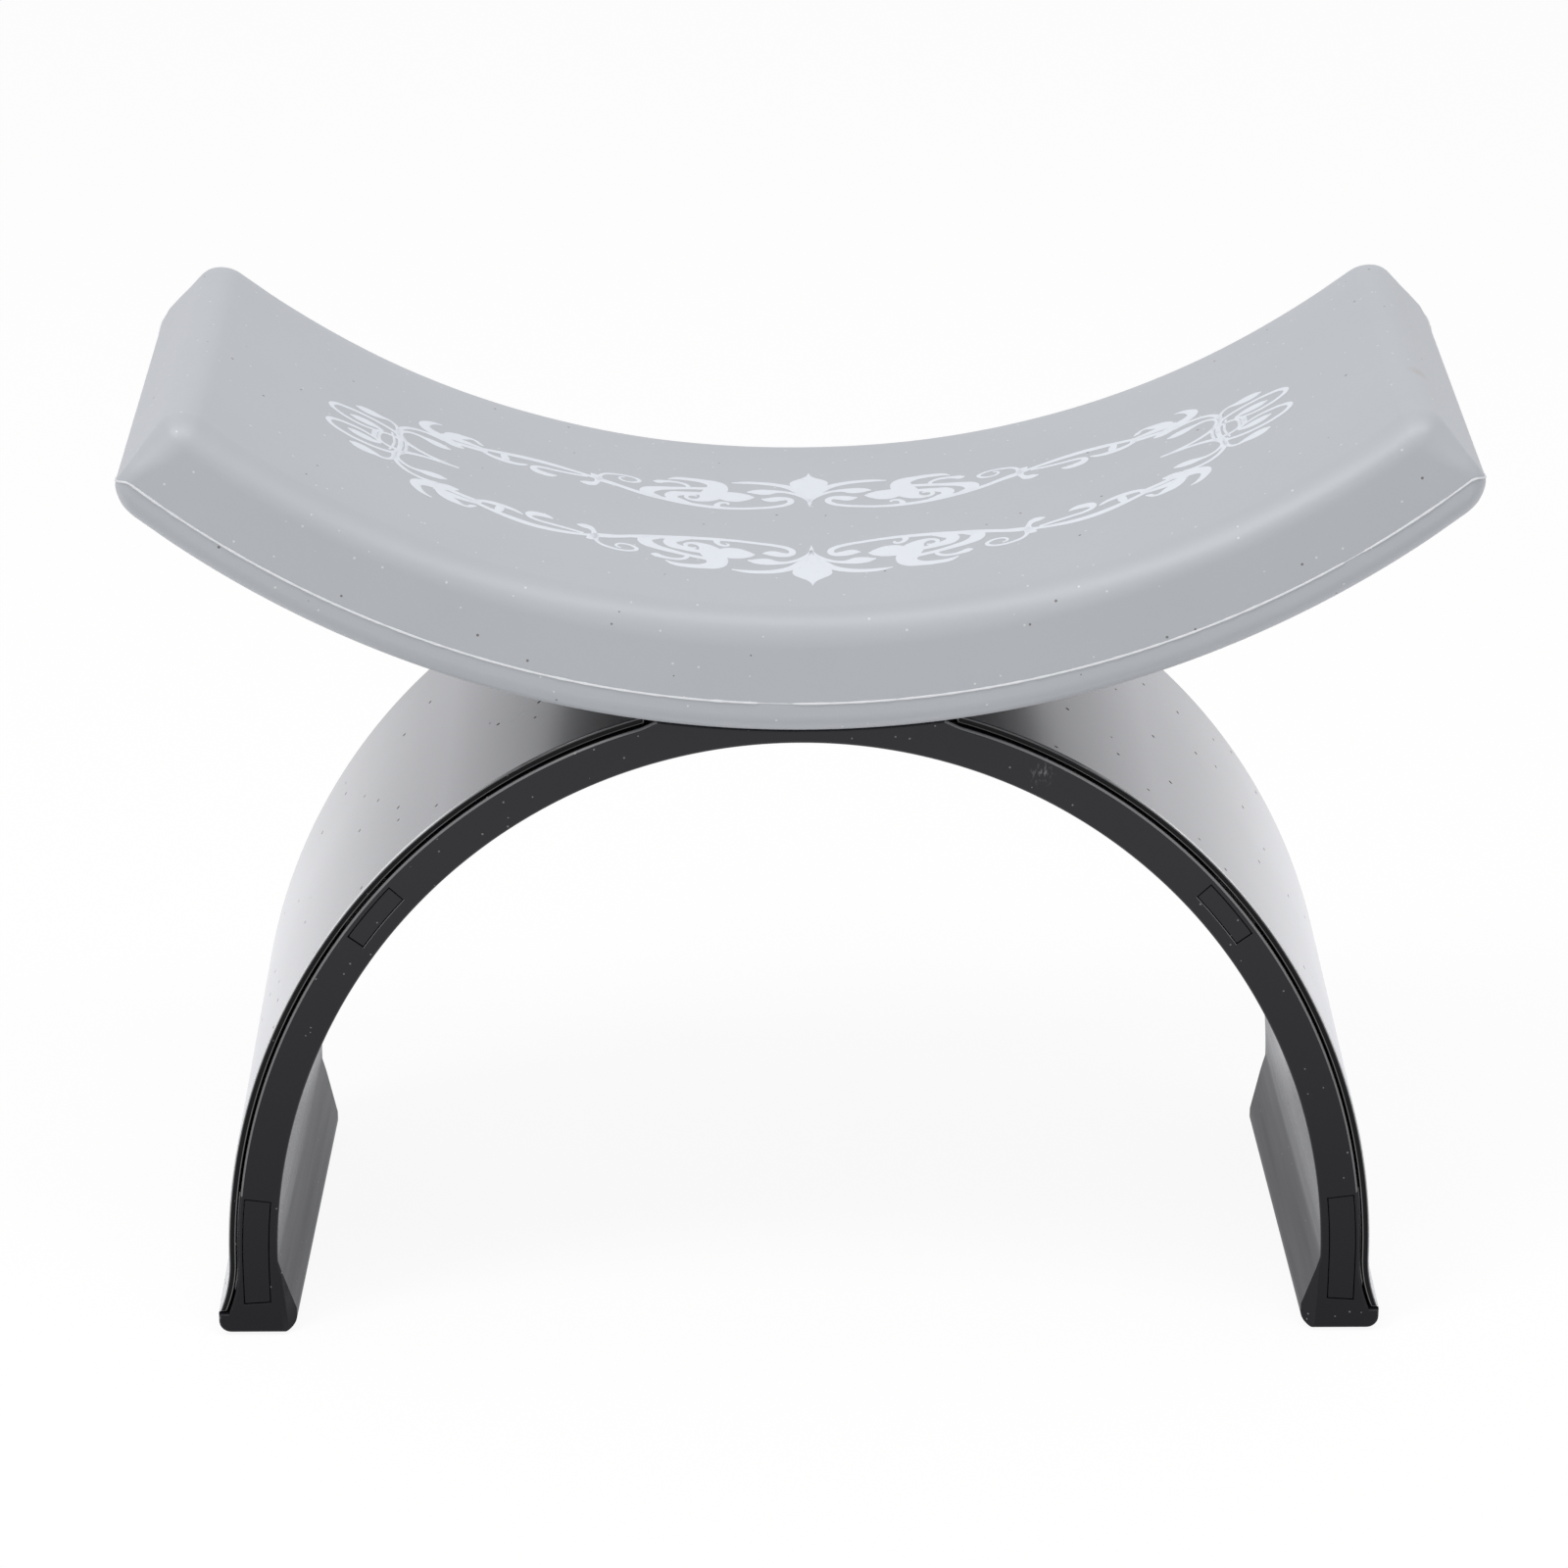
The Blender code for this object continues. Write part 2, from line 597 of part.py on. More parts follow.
def make_core():
    """Foam core: fills the sleeve over the plate, with a lower step that fills the plate's pan."""
    core = new_object("foam_core", bent_block(CAVITY_ARC - 2 * INNER_GAP, CAVITY_DEPTH - 2 * INNER_GAP,
                                              FLANGE_TOP + INNER_GAP, CAVITY_TOP - INNER_GAP), CREAM_FOAM)
    inset = 2 * (INNER_GAP + PAN_WALL + INNER_GAP)
    step = bent_block(OPENING_ARC - inset, OPENING_DEPTH - inset, PAN_FLOOR + INNER_GAP,
                      FLANGE_TOP + INNER_GAP + OVERRUN)
    combine(core, tool_object("core_step", step), 'UNION')


clear_scene()
make_frame()
make_pads()
make_covers()
make_sleeve()
make_plate()
make_core()
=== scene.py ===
# Manicure hand rest: a curved silicone cushion that lifts off a black arch-shaped stand.
# X runs along the arm trough, Y from front (-) to back (+), Z up. Lengths are in metres.
import bmesh
import bpy
import json
from math import acos, asin, atan2, ceil, copysign, cos, pi, radians, sin, sqrt
from mathutils import Matrix, Vector, noise

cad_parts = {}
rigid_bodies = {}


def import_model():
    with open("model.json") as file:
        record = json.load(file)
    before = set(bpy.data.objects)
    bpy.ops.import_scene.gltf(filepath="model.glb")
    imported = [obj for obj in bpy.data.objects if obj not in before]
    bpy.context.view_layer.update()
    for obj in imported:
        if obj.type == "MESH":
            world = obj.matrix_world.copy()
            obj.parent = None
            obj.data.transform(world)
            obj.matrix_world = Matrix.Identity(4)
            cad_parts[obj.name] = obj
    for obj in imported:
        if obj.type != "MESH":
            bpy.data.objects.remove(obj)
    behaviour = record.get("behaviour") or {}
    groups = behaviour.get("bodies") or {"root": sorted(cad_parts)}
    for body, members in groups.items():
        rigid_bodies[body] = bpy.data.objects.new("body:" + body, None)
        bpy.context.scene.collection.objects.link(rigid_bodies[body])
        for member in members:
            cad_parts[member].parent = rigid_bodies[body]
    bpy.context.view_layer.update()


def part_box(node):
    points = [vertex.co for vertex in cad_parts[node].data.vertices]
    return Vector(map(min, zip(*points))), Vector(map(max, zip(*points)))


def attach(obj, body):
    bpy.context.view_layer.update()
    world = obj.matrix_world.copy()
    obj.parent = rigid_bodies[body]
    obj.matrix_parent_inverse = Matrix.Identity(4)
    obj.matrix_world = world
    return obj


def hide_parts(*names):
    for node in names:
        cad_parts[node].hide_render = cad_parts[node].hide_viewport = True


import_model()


# ---- Arch frame ----
# The stand's main moulding, satin black ABS: two bands over a ribbed channel, splayed feet and a
# solid crown that cradles the cushion. Its front and back outlines are filled and bridged, the
# rims rounded, and the channel, tab windows, sockets, pad recesses and foot facets cut out of it.
frame_low, frame_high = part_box("arch_frame")
ARCH_HALF_SPAN = 0.1000       # inside half width between the legs
ARCH_RISE = 0.1090
SOLE_Z = frame_low.z
SPRING_Z = SOLE_Z + 0.0142    # the legs are straight below this height
HALF_DEPTH = frame_high.y
INNER_DRAFT = 0.0026          # the arch's inside comes in by this at the back
BAND_WIDTH = 0.0076
BAND_THICKNESS = 0.0030
RIM_ROUNDING = 0.0007

FLARE_IN = 0.0030
FOOT_IN_X = ARCH_HALF_SPAN - FLARE_IN
FOOT_OUT_X = frame_high.x
LEDGE_Z = SOLE_Z + 0.0040     # underside of the outer covers
FLARE_TOP_Z = LEDGE_Z + 0.0115
FOOT_ROUNDING = 0.0023
COVER_SEAT = 0.0019           # cover's thickness and its gap to the band

COVER_TUCK = 0.0029           # the covers' ends are tucked further under the cushion by this
COVER_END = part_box("outer_cover_right")[0].x - COVER_TUCK
FRAME_TOP = frame_high.z
CRADLE_GAP = 0.0022           # between the cradle's edge and the covers' ends
CRADLE_HALF = COVER_END - CRADLE_GAP
CURL_RUN = 0.0042             # from the cradle's edge down to the band
CUSHION_RADIUS = 0.1960       # underside of the cushion
SEAT_GAP = 0.0003
SEAT_RADIUS = CUSHION_RADIUS + SEAT_GAP
CUSHION_AXIS_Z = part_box("cushion_sleeve")[0].z + CUSHION_RADIUS

INNER_WALL = 0.0018
WEB_THICKNESS = 0.0018
WEB_COUNT = 3
RIB_PITCH = 0.0245
CHANNEL_REACH = 0.0130        # offset to which the channel is cut, past the band's outside
BLOCK_START = 0.0365          # half width of the solid crown
POCKET_FLOOR = 0.0016

# Middle height, length, inset from the arch's inside and width of the snap tabs' windows
WINDOWS = ((SOLE_Z + 0.0883, 0.0132, 0.0027, 0.0037),
           (SOLE_Z + 0.0176, 0.0224, 0.0016, 0.0052))
WINDOW_CHAMFER = 0.00008
FACET_DEPTH = 0.0018          # planed off the inner flares' upright corners, at the ledge's height
FACET_REACH = 0.0080

RIM_HIGHLIGHT_ABOVE = 0.0300         # lower down, the rims get no painted highlight
RIM_HIGHLIGHT_SLACK = 0.0003
SCUFF_PLACE = (0.0446, -HALF_DEPTH, 0.1176)
SCUFF_REACH = 0.0027

PEG_RADIUS = 0.0030
PEG_PLACES = [(x * 0.0240, y * 0.0300) for x in (1, -1) for y in (1, -1)]
PEG_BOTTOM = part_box("base_plate")[0].z
SOCKET_GAP = 0.0003
SOCKET_BELOW = 0.0005         # free depth under a peg

PAD_HALF_WIDTH, PAD_HALF_LENGTH = 0.0045, 0.0150
PAD_PLACES = [(side * (FOOT_IN_X + FOOT_OUT_X) / 2, end * 0.0250)
              for side in (-1, 1) for end in (-1, 1)]
PAD_RECESS = 0.0014
PAD_CORNER = 0.0012

OVERRUN = 0.0010              # a cutter reaches this far past the face it opens
ARCH_STEP = radians(1.0)
HAIR = 0.00001
X, Y, Z = 0, 1, 2


def steps(first, last, step):
    """Evenly spaced values from first to last, no further apart than step."""
    count = max(1, ceil(abs(last - first) / step))
    return [first + (last - first) * i / count for i in range(count + 1)]


TENTHS = steps(0, 1, 0.1)[1:]


def on_arch(offset, y, turn):
    """A place outside the arch's inner line; turn 0 is the springing, with a straight leg below."""
    across = ARCH_HALF_SPAN + offset
    rise = ARCH_RISE + offset
    if turn < 0:
        return Vector((across, y, SPRING_Z + rise * turn))
    return Vector((across * cos(turn), y, SPRING_Z + rise * sin(turn)))


def along_arch(offset, y, first, last):
    """Points of a line round the arch, from one turn to another."""
    return [on_arch(offset, y, turn) for turn in steps(first, last, ARCH_STEP)]


def turn_at_height(offset, height):
    share = (height - SPRING_Z) / (ARCH_RISE + offset)
    return share if share < 0 else asin(min(share, 1.0))


def turn_at_across(offset, across):
    return acos(across / (ARCH_HALF_SPAN + offset))


def flare(offset, y, foot_x, low_z):
    """Points down the outside of a leg, which spreads smoothly into the foot."""
    leg_x = ARCH_HALF_SPAN + offset
    return [Vector((leg_x + (foot_x - leg_x) * share ** 2, y,
                    FLARE_TOP_Z + (low_z - FLARE_TOP_Z) * share)) for share in TENTHS]


def seat_height(across):
    return CUSHION_AXIS_Z - sqrt(SEAT_RADIUS ** 2 - across ** 2)


def filled_outline(shape, points, mirrored):
    """Join points up, mirror them over the middle if asked, and fill the outline."""
    verts = [shape.verts.new(point) for point in points]
    chain = [shape.edges.new(pair) for pair in zip(verts, verts[1:])]
    if mirrored:
        made = bmesh.ops.mirror(shape, geom=verts + chain, axis='X', merge_dist=HAIR,
                                matrix=Matrix.Identity(4))["geom"]
        chain += [part for part in made if isinstance(part, bmesh.types.BMEdge)]
    else:
        chain.append(shape.edges.new((verts[-1], verts[0])))
    return bmesh.ops.contextual_create(shape, geom=chain)["faces"][0]


def round_over(shape, parts, radius, segments, affect='EDGES'):
    bmesh.ops.bevel(shape, geom=parts, offset=radius, segments=segments, profile=0.5,
                    affect=affect, clamp_overlap=False, material=-1)


def level_edges(shape, axis, place):
    """Edges that lie in one plane square to an axis."""
    return [edge for edge in shape.edges
            if all(abs(vert.co[axis] - place) < HAIR for vert in edge.verts)]


def upright_edges(shape):
    return [edge for edge in shape.edges
            if abs(edge.verts[0].co.z - edge.verts[1].co.z) > HAIR]


def cut_loops(shape, axis, places):
    """Cut right through a form in planes square to an axis, which leaves loops of edges."""
    normal = Vector([1 if i == axis else 0 for i in (X, Y, Z)])
    for place in places:
        bmesh.ops.bisect_plane(shape, geom=shape.verts[:] + shape.edges[:] + shape.faces[:],
                               plane_co=normal * place, plane_no=normal)


def block(low, high):
    """A box between two corners."""
    shape = bmesh.new()
    bmesh.ops.create_cube(shape, size=1)
    bmesh.ops.scale(shape, vec=Vector(high) - Vector(low), verts=shape.verts)
    bmesh.ops.translate(shape, vec=(Vector(low) + Vector(high)) / 2, verts=shape.verts)
    return shape


def gather(shapes):
    """Bring separate closed forms together in one."""
    gathered = bmesh.new()
    for shape in shapes:
        mesh = bpy.data.meshes.new("gathered")
        shape.to_mesh(mesh)
        shape.free()
        gathered.from_mesh(mesh)
        bpy.data.meshes.remove(mesh)
    return gathered


def arch_block(offsets, depths, turns, side, chamfer=0.0):
    """A block that follows the arch between two offsets, two depths and two turns.

    With a chamfer, the end that overruns the face of a band widens at 45 degrees.
    """
    shape = block((offsets[0], depths[0], turns[0]), (offsets[1], depths[1], turns[1]))
    cut_loops(shape, Z, steps(turns[0], turns[1], ARCH_STEP)[1:-1])
    if chamfer:
        cut_loops(shape, Y, [chamfer - HALF_DEPTH, HALF_DEPTH - chamfer])
        for vert in shape.verts:
            widening = max(0, abs(vert.co.y) - HALF_DEPTH + chamfer)
            for axis, (low, high), reach in ((X, offsets, 1), (Z, turns, ARCH_RISE)):
                if min(abs(vert.co[axis] - low), abs(vert.co[axis] - high)) < HAIR:
                    way = 1 if vert.co[axis] > (low + high) / 2 else -1
                    vert.co[axis] += widening / reach * way
    for vert in shape.verts:
        vert.co = on_arch(*vert.co)
    bmesh.ops.scale(shape, vec=(side, 1, 1), verts=shape.verts)
    return shape


def placed(name, data):
    """A new object in the scene."""
    made = bpy.data.objects.new(name, data)
    bpy.context.scene.collection.objects.link(made)
    return made


def new_piece(name, shape):
    bmesh.ops.recalc_face_normals(shape, faces=shape.faces)
    mesh = bpy.data.meshes.new(name)
    shape.to_mesh(mesh)
    shape.free()
    return placed(name, mesh)


def carve(piece, shapes, operation='DIFFERENCE'):
    """Cut forms out of a piece, or weld them on, all in one step."""
    tools = bpy.data.collections.new("tools")
    for shape in shapes:
        tools.objects.link(new_piece("tool", shape))
    step = piece.modifiers.new("tools", 'BOOLEAN')
    step.operation = operation
    step.solver = 'EXACT'
    step.operand_type = 'COLLECTION'
    step.collection = tools
    shaped = bpy.data.meshes.new_from_object(
        piece.evaluated_get(bpy.context.evaluated_depsgraph_get()))
    plain = piece.data
    piece.modifiers.clear()
    piece.data = shaped
    shaped.name = piece.name
    for spent in [plain] + [tool.data for tool in tools.objects]:
        bpy.data.meshes.remove(spent)
    bpy.data.collections.remove(tools)


def smooth(piece, finishes, crease=radians(35), pick=None):
    """Shade a piece smooth up to its creases; pick says which of its finishes a face has."""
    piece.data.shade_smooth()
    piece.data.set_sharp_from_angle(angle=crease)
    piece.data.materials.clear()
    for finish in finishes:
        piece.data.materials.append(finish)
    for face in piece.data.polygons:
        face.material_index = pick(face) if pick else 0
    step = piece.modifiers.new("even_shading", 'WEIGHTED_NORMAL')
    step.keep_sharp = True


def feed(node, inputs):
    """Give each named input of a shader node a number, a colour or another node's output."""
    for name, value in inputs.items():
        if isinstance(value, bpy.types.NodeSocket):
            node.id_data.links.new(value, node.inputs[name])
        else:
            node.inputs[name].default_value = value


def put(beside, kind, inputs=None, **settings):
    """Add a shader node to a tree, given the tree or any socket in it."""
    node = beside.id_data.nodes.new("ShaderNode" + kind)
    for name, value in settings.items():
        setattr(node, name, value)
    feed(node, inputs or {})
    return node


def new_finish(name, **sockets):
    """A material with its uniform values on the shader's own sockets."""
    made = bpy.data.materials.new(name)
    made.use_nodes = True
    shader = made.node_tree.nodes["Principled BSDF"]
    feed(shader, {socket.replace("_", " "): value for socket, value in sockets.items()})
    return made, shader, put(made.node_tree, "TexCoord").outputs["Object"]


def combined(operation, first, second, clamped=False):
    return put(first, "Math", {0: first, 1: second}, operation=operation,
               use_clamp=clamped).outputs[0]


def specks(place, scale, size, share):
    """1 on small round specks; size is their radius in cells, share how many cells have one."""
    cells = put(place, "TexVoronoi", {"Vector": place, "Scale": scale})
    near = combined('LESS_THAN', cells.outputs["Distance"], size)
    pick = put(place, "SeparateColor", {"Color": cells.outputs["Color"]})
    chosen = combined('LESS_THAN', pick.outputs["Red"], share)
    return combined('MULTIPLY', near, chosen)


def blend_colour(amount, first, second):
    return put(amount, "Mix", {0: amount, 6: first, 7: second}, data_type='RGBA').outputs[2]


def mottled(place, scale, detail=3.0, stretch=(1, 1, 1)):
    """Soft uneven patches; a small stretch draws them out along that axis."""
    drawn = put(place, "Mapping", {"Vector": place, "Scale": stretch}).outputs[0]
    pattern = put(place, "TexNoise", {"Vector": drawn, "Scale": scale, "Detail": detail})
    return pattern.outputs["Fac"]


def relief(height, depth, under=None):
    inputs = {"Height": height, "Strength": 1.0, "Distance": depth}
    if under:
        inputs["Normal"] = under
    return put(height, "Bump", inputs).outputs["Normal"]


def in_range(value, low, high, start=0.0, end=1.0):
    """Bring a value from start..end to low..high."""
    return put(value, "MapRange", {"Value": value, "From Min": start, "From Max": end,
                                   "To Min": low, "To Max": high}).outputs[0]


def by_height(place, heights, low, high):
    """A value that changes evenly from low to high between two heights."""
    height = put(place, "SeparateXYZ", {"Vector": place}).outputs["Z"]
    return in_range(height, low, high, *heights)


def near_point(place, point, reach, most):
    """A soft spot: most at the point, and 0 from reach outward."""
    away = put(place, "VectorMath", {0: place, 1: point}, operation='DISTANCE').outputs["Value"]
    return in_range(away, most, 0.0, end=reach)


DULL_HEIGHTS = (0.0100, 0.0300)     # the legs' lower ends are rougher than what is above
SHINE_HEIGHTS = (0.0, 0.1000)       # and the moulding shines more towards the crown


def black_moulding(name, base, dust_colour, gloss, level):
    """Moulded black ABS: fine streaks along the depth, a light grain, settled dust and a scuff."""
    made, shader, place = new_finish(name)
    dust = specks(place, scale=380, size=0.075, share=0.70)
    colour = blend_colour(dust, base, dust_colour)
    scuff = near_point(place, SCUFF_PLACE, SCUFF_REACH, most=1.3)
    patchy = mottled(place, scale=750, stretch=(2.5, 1, 1))
    patchy = in_range(patchy, 0.0, 1.0, start=0.50, end=0.72)
    scuff = combined('MULTIPLY', scuff, patchy, clamped=True)
    streaks = mottled(place, scale=420, stretch=(1.0, 0.03, 1.0))
    grain = mottled(place, scale=2600, detail=2.0)
    duller = by_height(place, DULL_HEIGHTS, 0.10, -0.052)
    shine = by_height(place, SHINE_HEIGHTS, 0.50 * level, 1.08 * level)
    feed(shader, {"Base Color": blend_colour(scuff, colour, dust_colour),
                  "Roughness": combined('ADD', in_range(streaks, *gloss), duller),
                  "Specular IOR Level": shine,
                  "Normal": relief(grain, depth=0.000012, under=relief(streaks, depth=0.00002))})
    return made


SATIN_BLACK, DUST_GREY = (0.0095, 0.009, 0.012, 1), (0.19, 0.19, 0.195, 1)
# The first of these is a painted highlight: a pale grey for the bands' outer rims, with paler dust
# on it.
RIM_HIGHLIGHT_GREY, PALE_DUST = (0.18, 0.179, 0.184, 1), (0.35, 0.35, 0.35, 1)

satin_black = black_moulding("satin_black_abs", SATIN_BLACK, DUST_GREY,
                             gloss=(0.20, 0.33), level=0.33)
# The outer rims' finish: its pale grey base colour is a painted highlight along them.
rim_highlight_black = black_moulding("rim_highlight_black_abs", RIM_HIGHLIGHT_GREY, PALE_DUST,
                              gloss=(0.24, 0.34), level=0.55)


def outward(face):
    """How much a face looks away from the arch's middle."""
    return Vector((face.center.x, 0, face.center.z - SPRING_Z)).dot(face.normal)


def on_outer_rim(face):
    """The rounded rims on the outside of the bands, whose pale grey finish is a painted highlight.
    """
    on_rounding = (HALF_DEPTH - abs(face.center.y) < RIM_ROUNDING
                   and 0.2 < abs(face.normal.y) < 0.97 and outward(face) > 0.01)
    return int(on_rounding and abs(face.center.x) > CRADLE_HALF - RIM_HIGHLIGHT_SLACK
               and face.center.z > RIM_HIGHLIGHT_ABOVE)


def frame_half(draft, y):
    """Right half of the frame's outline at one depth, from under the crown round to its top."""
    half = along_arch(-draft, y, pi / 2, turn_at_height(0, FLARE_TOP_Z))
    foot_in_x = FOOT_IN_X - draft
    half += [Vector((x, y, z)) for x, z in ((foot_in_x, LEDGE_Z), (foot_in_x, SOLE_Z),
                                            (FOOT_OUT_X, SOLE_Z), (FOOT_OUT_X, LEDGE_Z))]
    half += flare(BAND_WIDTH, y, FOOT_OUT_X - COVER_SEAT, LEDGE_Z)[::-1]
    curl_start = CRADLE_HALF + CURL_RUN
    half += along_arch(BAND_WIDTH, y, turn_at_height(BAND_WIDTH, FLARE_TOP_Z),
                       turn_at_across(BAND_WIDTH, curl_start))
    for share in TENTHS:
        across = curl_start - CURL_RUN * share
        line = on_arch(BAND_WIDTH, y, turn_at_across(BAND_WIDTH, across))
        line.z += (seat_height(across) - line.z) * share ** 3
        half.append(line)
    half += [Vector((across, y, seat_height(across)))
             for across in steps(CRADLE_HALF, 0, ARCH_HALF_SPAN * ARCH_STEP)[1:]]
    return half


shape = bmesh.new()
for draft, y in ((0, -HALF_DEPTH), (INNER_DRAFT, HALF_DEPTH)):
    filled_outline(shape, frame_half(draft, y), mirrored=True)
round_over(shape, [vert for vert in shape.verts if vert.co.z < SOLE_Z + HAIR],
           FOOT_ROUNDING, segments=8, affect='VERTICES')
bmesh.ops.bridge_loops(shape, edges=shape.edges[:])
round_over(shape, level_edges(shape, Y, -HALF_DEPTH) + level_edges(shape, Y, HALF_DEPTH),
           RIM_ROUNDING, segments=4)
stand_arch = new_piece("stand_arch", shape)

inside_y = HALF_DEPTH - BAND_THICKNESS
lane = (2 * inside_y - WEB_COUNT * WEB_THICKNESS) / (WEB_COUNT + 1)
lane_starts = [-inside_y + i * (lane + WEB_THICKNESS) for i in range(WEB_COUNT + 1)]
lanes = [(y, y + lane) for y in lane_starts]
arch_size = (ARCH_HALF_SPAN + ARCH_RISE) / 2 + BAND_WIDTH
low_window_height, low_window_length = WINDOWS[1][:2]
first_top = turn_at_height(BAND_WIDTH, low_window_height + low_window_length / 2 + WEB_THICKNESS)
marks = steps(first_top, turn_at_across(BAND_WIDTH, BLOCK_START), RIB_PITCH / arch_size)
rows = [(turn_at_height(BAND_WIDTH, LEDGE_Z + POCKET_FLOOR), first_top)]
rows += [(low + WEB_THICKNESS / arch_size, high) for low, high in zip(marks, marks[1:])]
channel = gather([
    arch_block((INNER_WALL - INNER_DRAFT * (sum(depths) / 2 / HALF_DEPTH + 1) / 2, CHANNEL_REACH),
               depths, turns, side)
    for turns in rows for depths in lanes for side in (1, -1)])


def window_turns(height, length, inset, width, gap):
    """First and last turn of a window, or of what sits in it with a gap all round."""
    middle = turn_at_height(inset + width / 2, height)
    half = (length / 2 - gap) / (ARCH_RISE + inset + width / 2)
    return middle - half, middle + half


band_depths = ((-HALF_DEPTH - OVERRUN, -inside_y + OVERRUN),
               (inside_y - OVERRUN, HALF_DEPTH + OVERRUN))
tab_windows = gather([
    arch_block((inset, inset + width), depths, window_turns(height, length, inset, width, 0),
               side, WINDOW_CHAMFER)
    for height, length, inset, width in WINDOWS for side in (1, -1) for depths in band_depths])


def pegs(radius, low_z, high_z, rounding=0.0):
    """Four upright pins where the cushion's base plate has its pegs."""
    shape = bmesh.new()
    for x, y in PEG_PLACES:
        middle = Matrix.Translation((x, y, (low_z + high_z) / 2))
        bmesh.ops.create_cone(shape, cap_ends=True, segments=48, radius1=radius, radius2=radius,
                              depth=high_z - low_z, matrix=middle)
    if rounding:
        round_over(shape, level_edges(shape, Z, low_z), rounding, segments=5)
    return shape


def pad_block(x, y, gap, low_z, high_z):
    """A strip with rounded corners in plan; gap is taken off all round."""
    shape = block((x - PAD_HALF_WIDTH + gap, y - PAD_HALF_LENGTH + gap, low_z),
                  (x + PAD_HALF_WIDTH - gap, y + PAD_HALF_LENGTH - gap, high_z))
    round_over(shape, upright_edges(shape), PAD_CORNER, segments=6)
    return shape


def facet_wedge(side, end):
    """A wedge that planes off an upright corner of a foot's inner flare, more towards the sole."""
    inward = Vector((side, -end, 0)).normalized()
    along = Vector((-end, -side, 0)).normalized()
    draft = INNER_DRAFT if end > 0 else 0
    top = Vector((side * (ARCH_HALF_SPAN - draft), end * HALF_DEPTH, FLARE_TOP_Z))
    ledge = Vector((side * (FOOT_IN_X - draft), end * HALF_DEPTH, LEDGE_Z)) + inward * FACET_DEPTH
    shape = block((-FACET_REACH, -FACET_REACH, -0.5), (0, FACET_REACH, 1))
    for vert in shape.verts:
        vert.co = ledge.lerp(top, vert.co.z) + inward * vert.co.x + along * vert.co.y
    return shape


sockets = pegs(PEG_RADIUS + SOCKET_GAP, PEG_BOTTOM - SOCKET_BELOW, FRAME_TOP + OVERRUN)
recesses = gather([pad_block(x, y, 0, SOLE_Z - OVERRUN, SOLE_Z + PAD_RECESS)
                   for x, y in PAD_PLACES])
facets = gather([facet_wedge(side, end) for side in (1, -1) for end in (-1, 1)])
carve(stand_arch, [channel, tab_windows, sockets, recesses, facets])

smooth(stand_arch, [satin_black, rim_highlight_black], pick=on_outer_rim)
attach(stand_arch, "stand")
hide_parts("arch_frame")


# ---- Sole pads ----
# Four non-slip strips of soft black rubber, glued into the recesses of the soles and 0.6 mm
# proud of them. Each is a rounded strip with seven shallow grooves pressed into its tread.
GROOVE_COUNT = 7
GROOVE_WIDTH = 0.0016
GROOVE_DEPTH = 0.0003
PAD_EDGE = 0.0003
PAD_GAP = 0.0003
TREAD_MARGIN = 0.0014
RUBBER_BLACKS = ((0.022, 0.022, 0.022, 1), (0.040, 0.039, 0.038, 1))

rubber, shader, place = new_finish("pad_rubber", Roughness=0.85, Specular_IOR_Level=0.3)
mottle = mottled(place, scale=900)
feed(shader, {"Base Color": blend_colour(mottle, *RUBBER_BLACKS),
              "Normal": relief(mottle, depth=0.00005)})

for (x, y), corner in zip(PAD_PLACES, ("left_front", "left_back", "right_front", "right_back")):
    shape = pad_block(x, y, PAD_GAP, 0, SOLE_Z + PAD_RECESS - PAD_GAP)
    round_over(shape, level_edges(shape, Z, 0), PAD_EDGE, segments=3)
    pitch = 2 * (PAD_HALF_LENGTH - PAD_CORNER) / GROOVE_COUNT
    middles = [y + (i - (GROOVE_COUNT - 1) / 2) * pitch for i in range(GROOVE_COUNT)]
    cut_loops(shape, Y, [middle + half * GROOVE_WIDTH / 2
                         for middle in middles for half in (-1, 1)])
    cut_loops(shape, X, [x - PAD_HALF_WIDTH + TREAD_MARGIN, x + PAD_HALF_WIDTH - TREAD_MARGIN])
    tread = []
    for face in shape.faces:
        at = face.calc_center_median()
        if (face.normal.z < -0.9 and abs(at.x - x) < PAD_HALF_WIDTH - TREAD_MARGIN
                and min(abs(at.y - middle) for middle in middles) < GROOVE_WIDTH / 2):
            tread.append(face)
    for face in bmesh.ops.extrude_discrete_faces(shape, faces=tread)["faces"]:
        bmesh.ops.translate(shape, vec=(0, 0, GROOVE_DEPTH), verts=face.verts)
    sole_pad = new_piece("sole_pad_" + corner, shape)
    smooth(sole_pad, [rubber])
    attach(sole_pad, "stand")
    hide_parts("foot_pad_" + corner)


# ---- Outer covers ----
# Two glossy black ABS skins, one over each side of the arch, from the cradle down to the ledge of
# the foot, with a painted highlight along their rims. Each is an outline filled and bridged, and
# snaps on with four tabs, whose arms and noses are welded on and sit in the windows of the bands.
COVER_GAP = 0.0003
COVER_THICKNESS = 0.0016
COVER_INSIDE = BAND_WIDTH + COVER_GAP
COVER_OUTSIDE = COVER_INSIDE + COVER_THICKNESS
COVER_SETBACK = 0.0008
COVER_HALF_DEPTH = HALF_DEPTH - COVER_SETBACK
COVER_ROUNDING = 0.0004
TAB_ARM = 0.0018
TAB_GAP = 0.00014
LEDGE_GAP = 0.00012
NOSE_SETBACK = 0.0001
NOSE_Y = HALF_DEPTH - NOSE_SETBACK
NOSE_ROUNDING = 0.0002

GLOSS_BLACK, MOTE_GREY = (0.008, 0.008, 0.009, 1), (0.24, 0.23, 0.22, 1)
RAW_BLACK, EDGE_DUST = (0.0035, 0.0035, 0.004, 1), (0.10, 0.10, 0.10, 1)
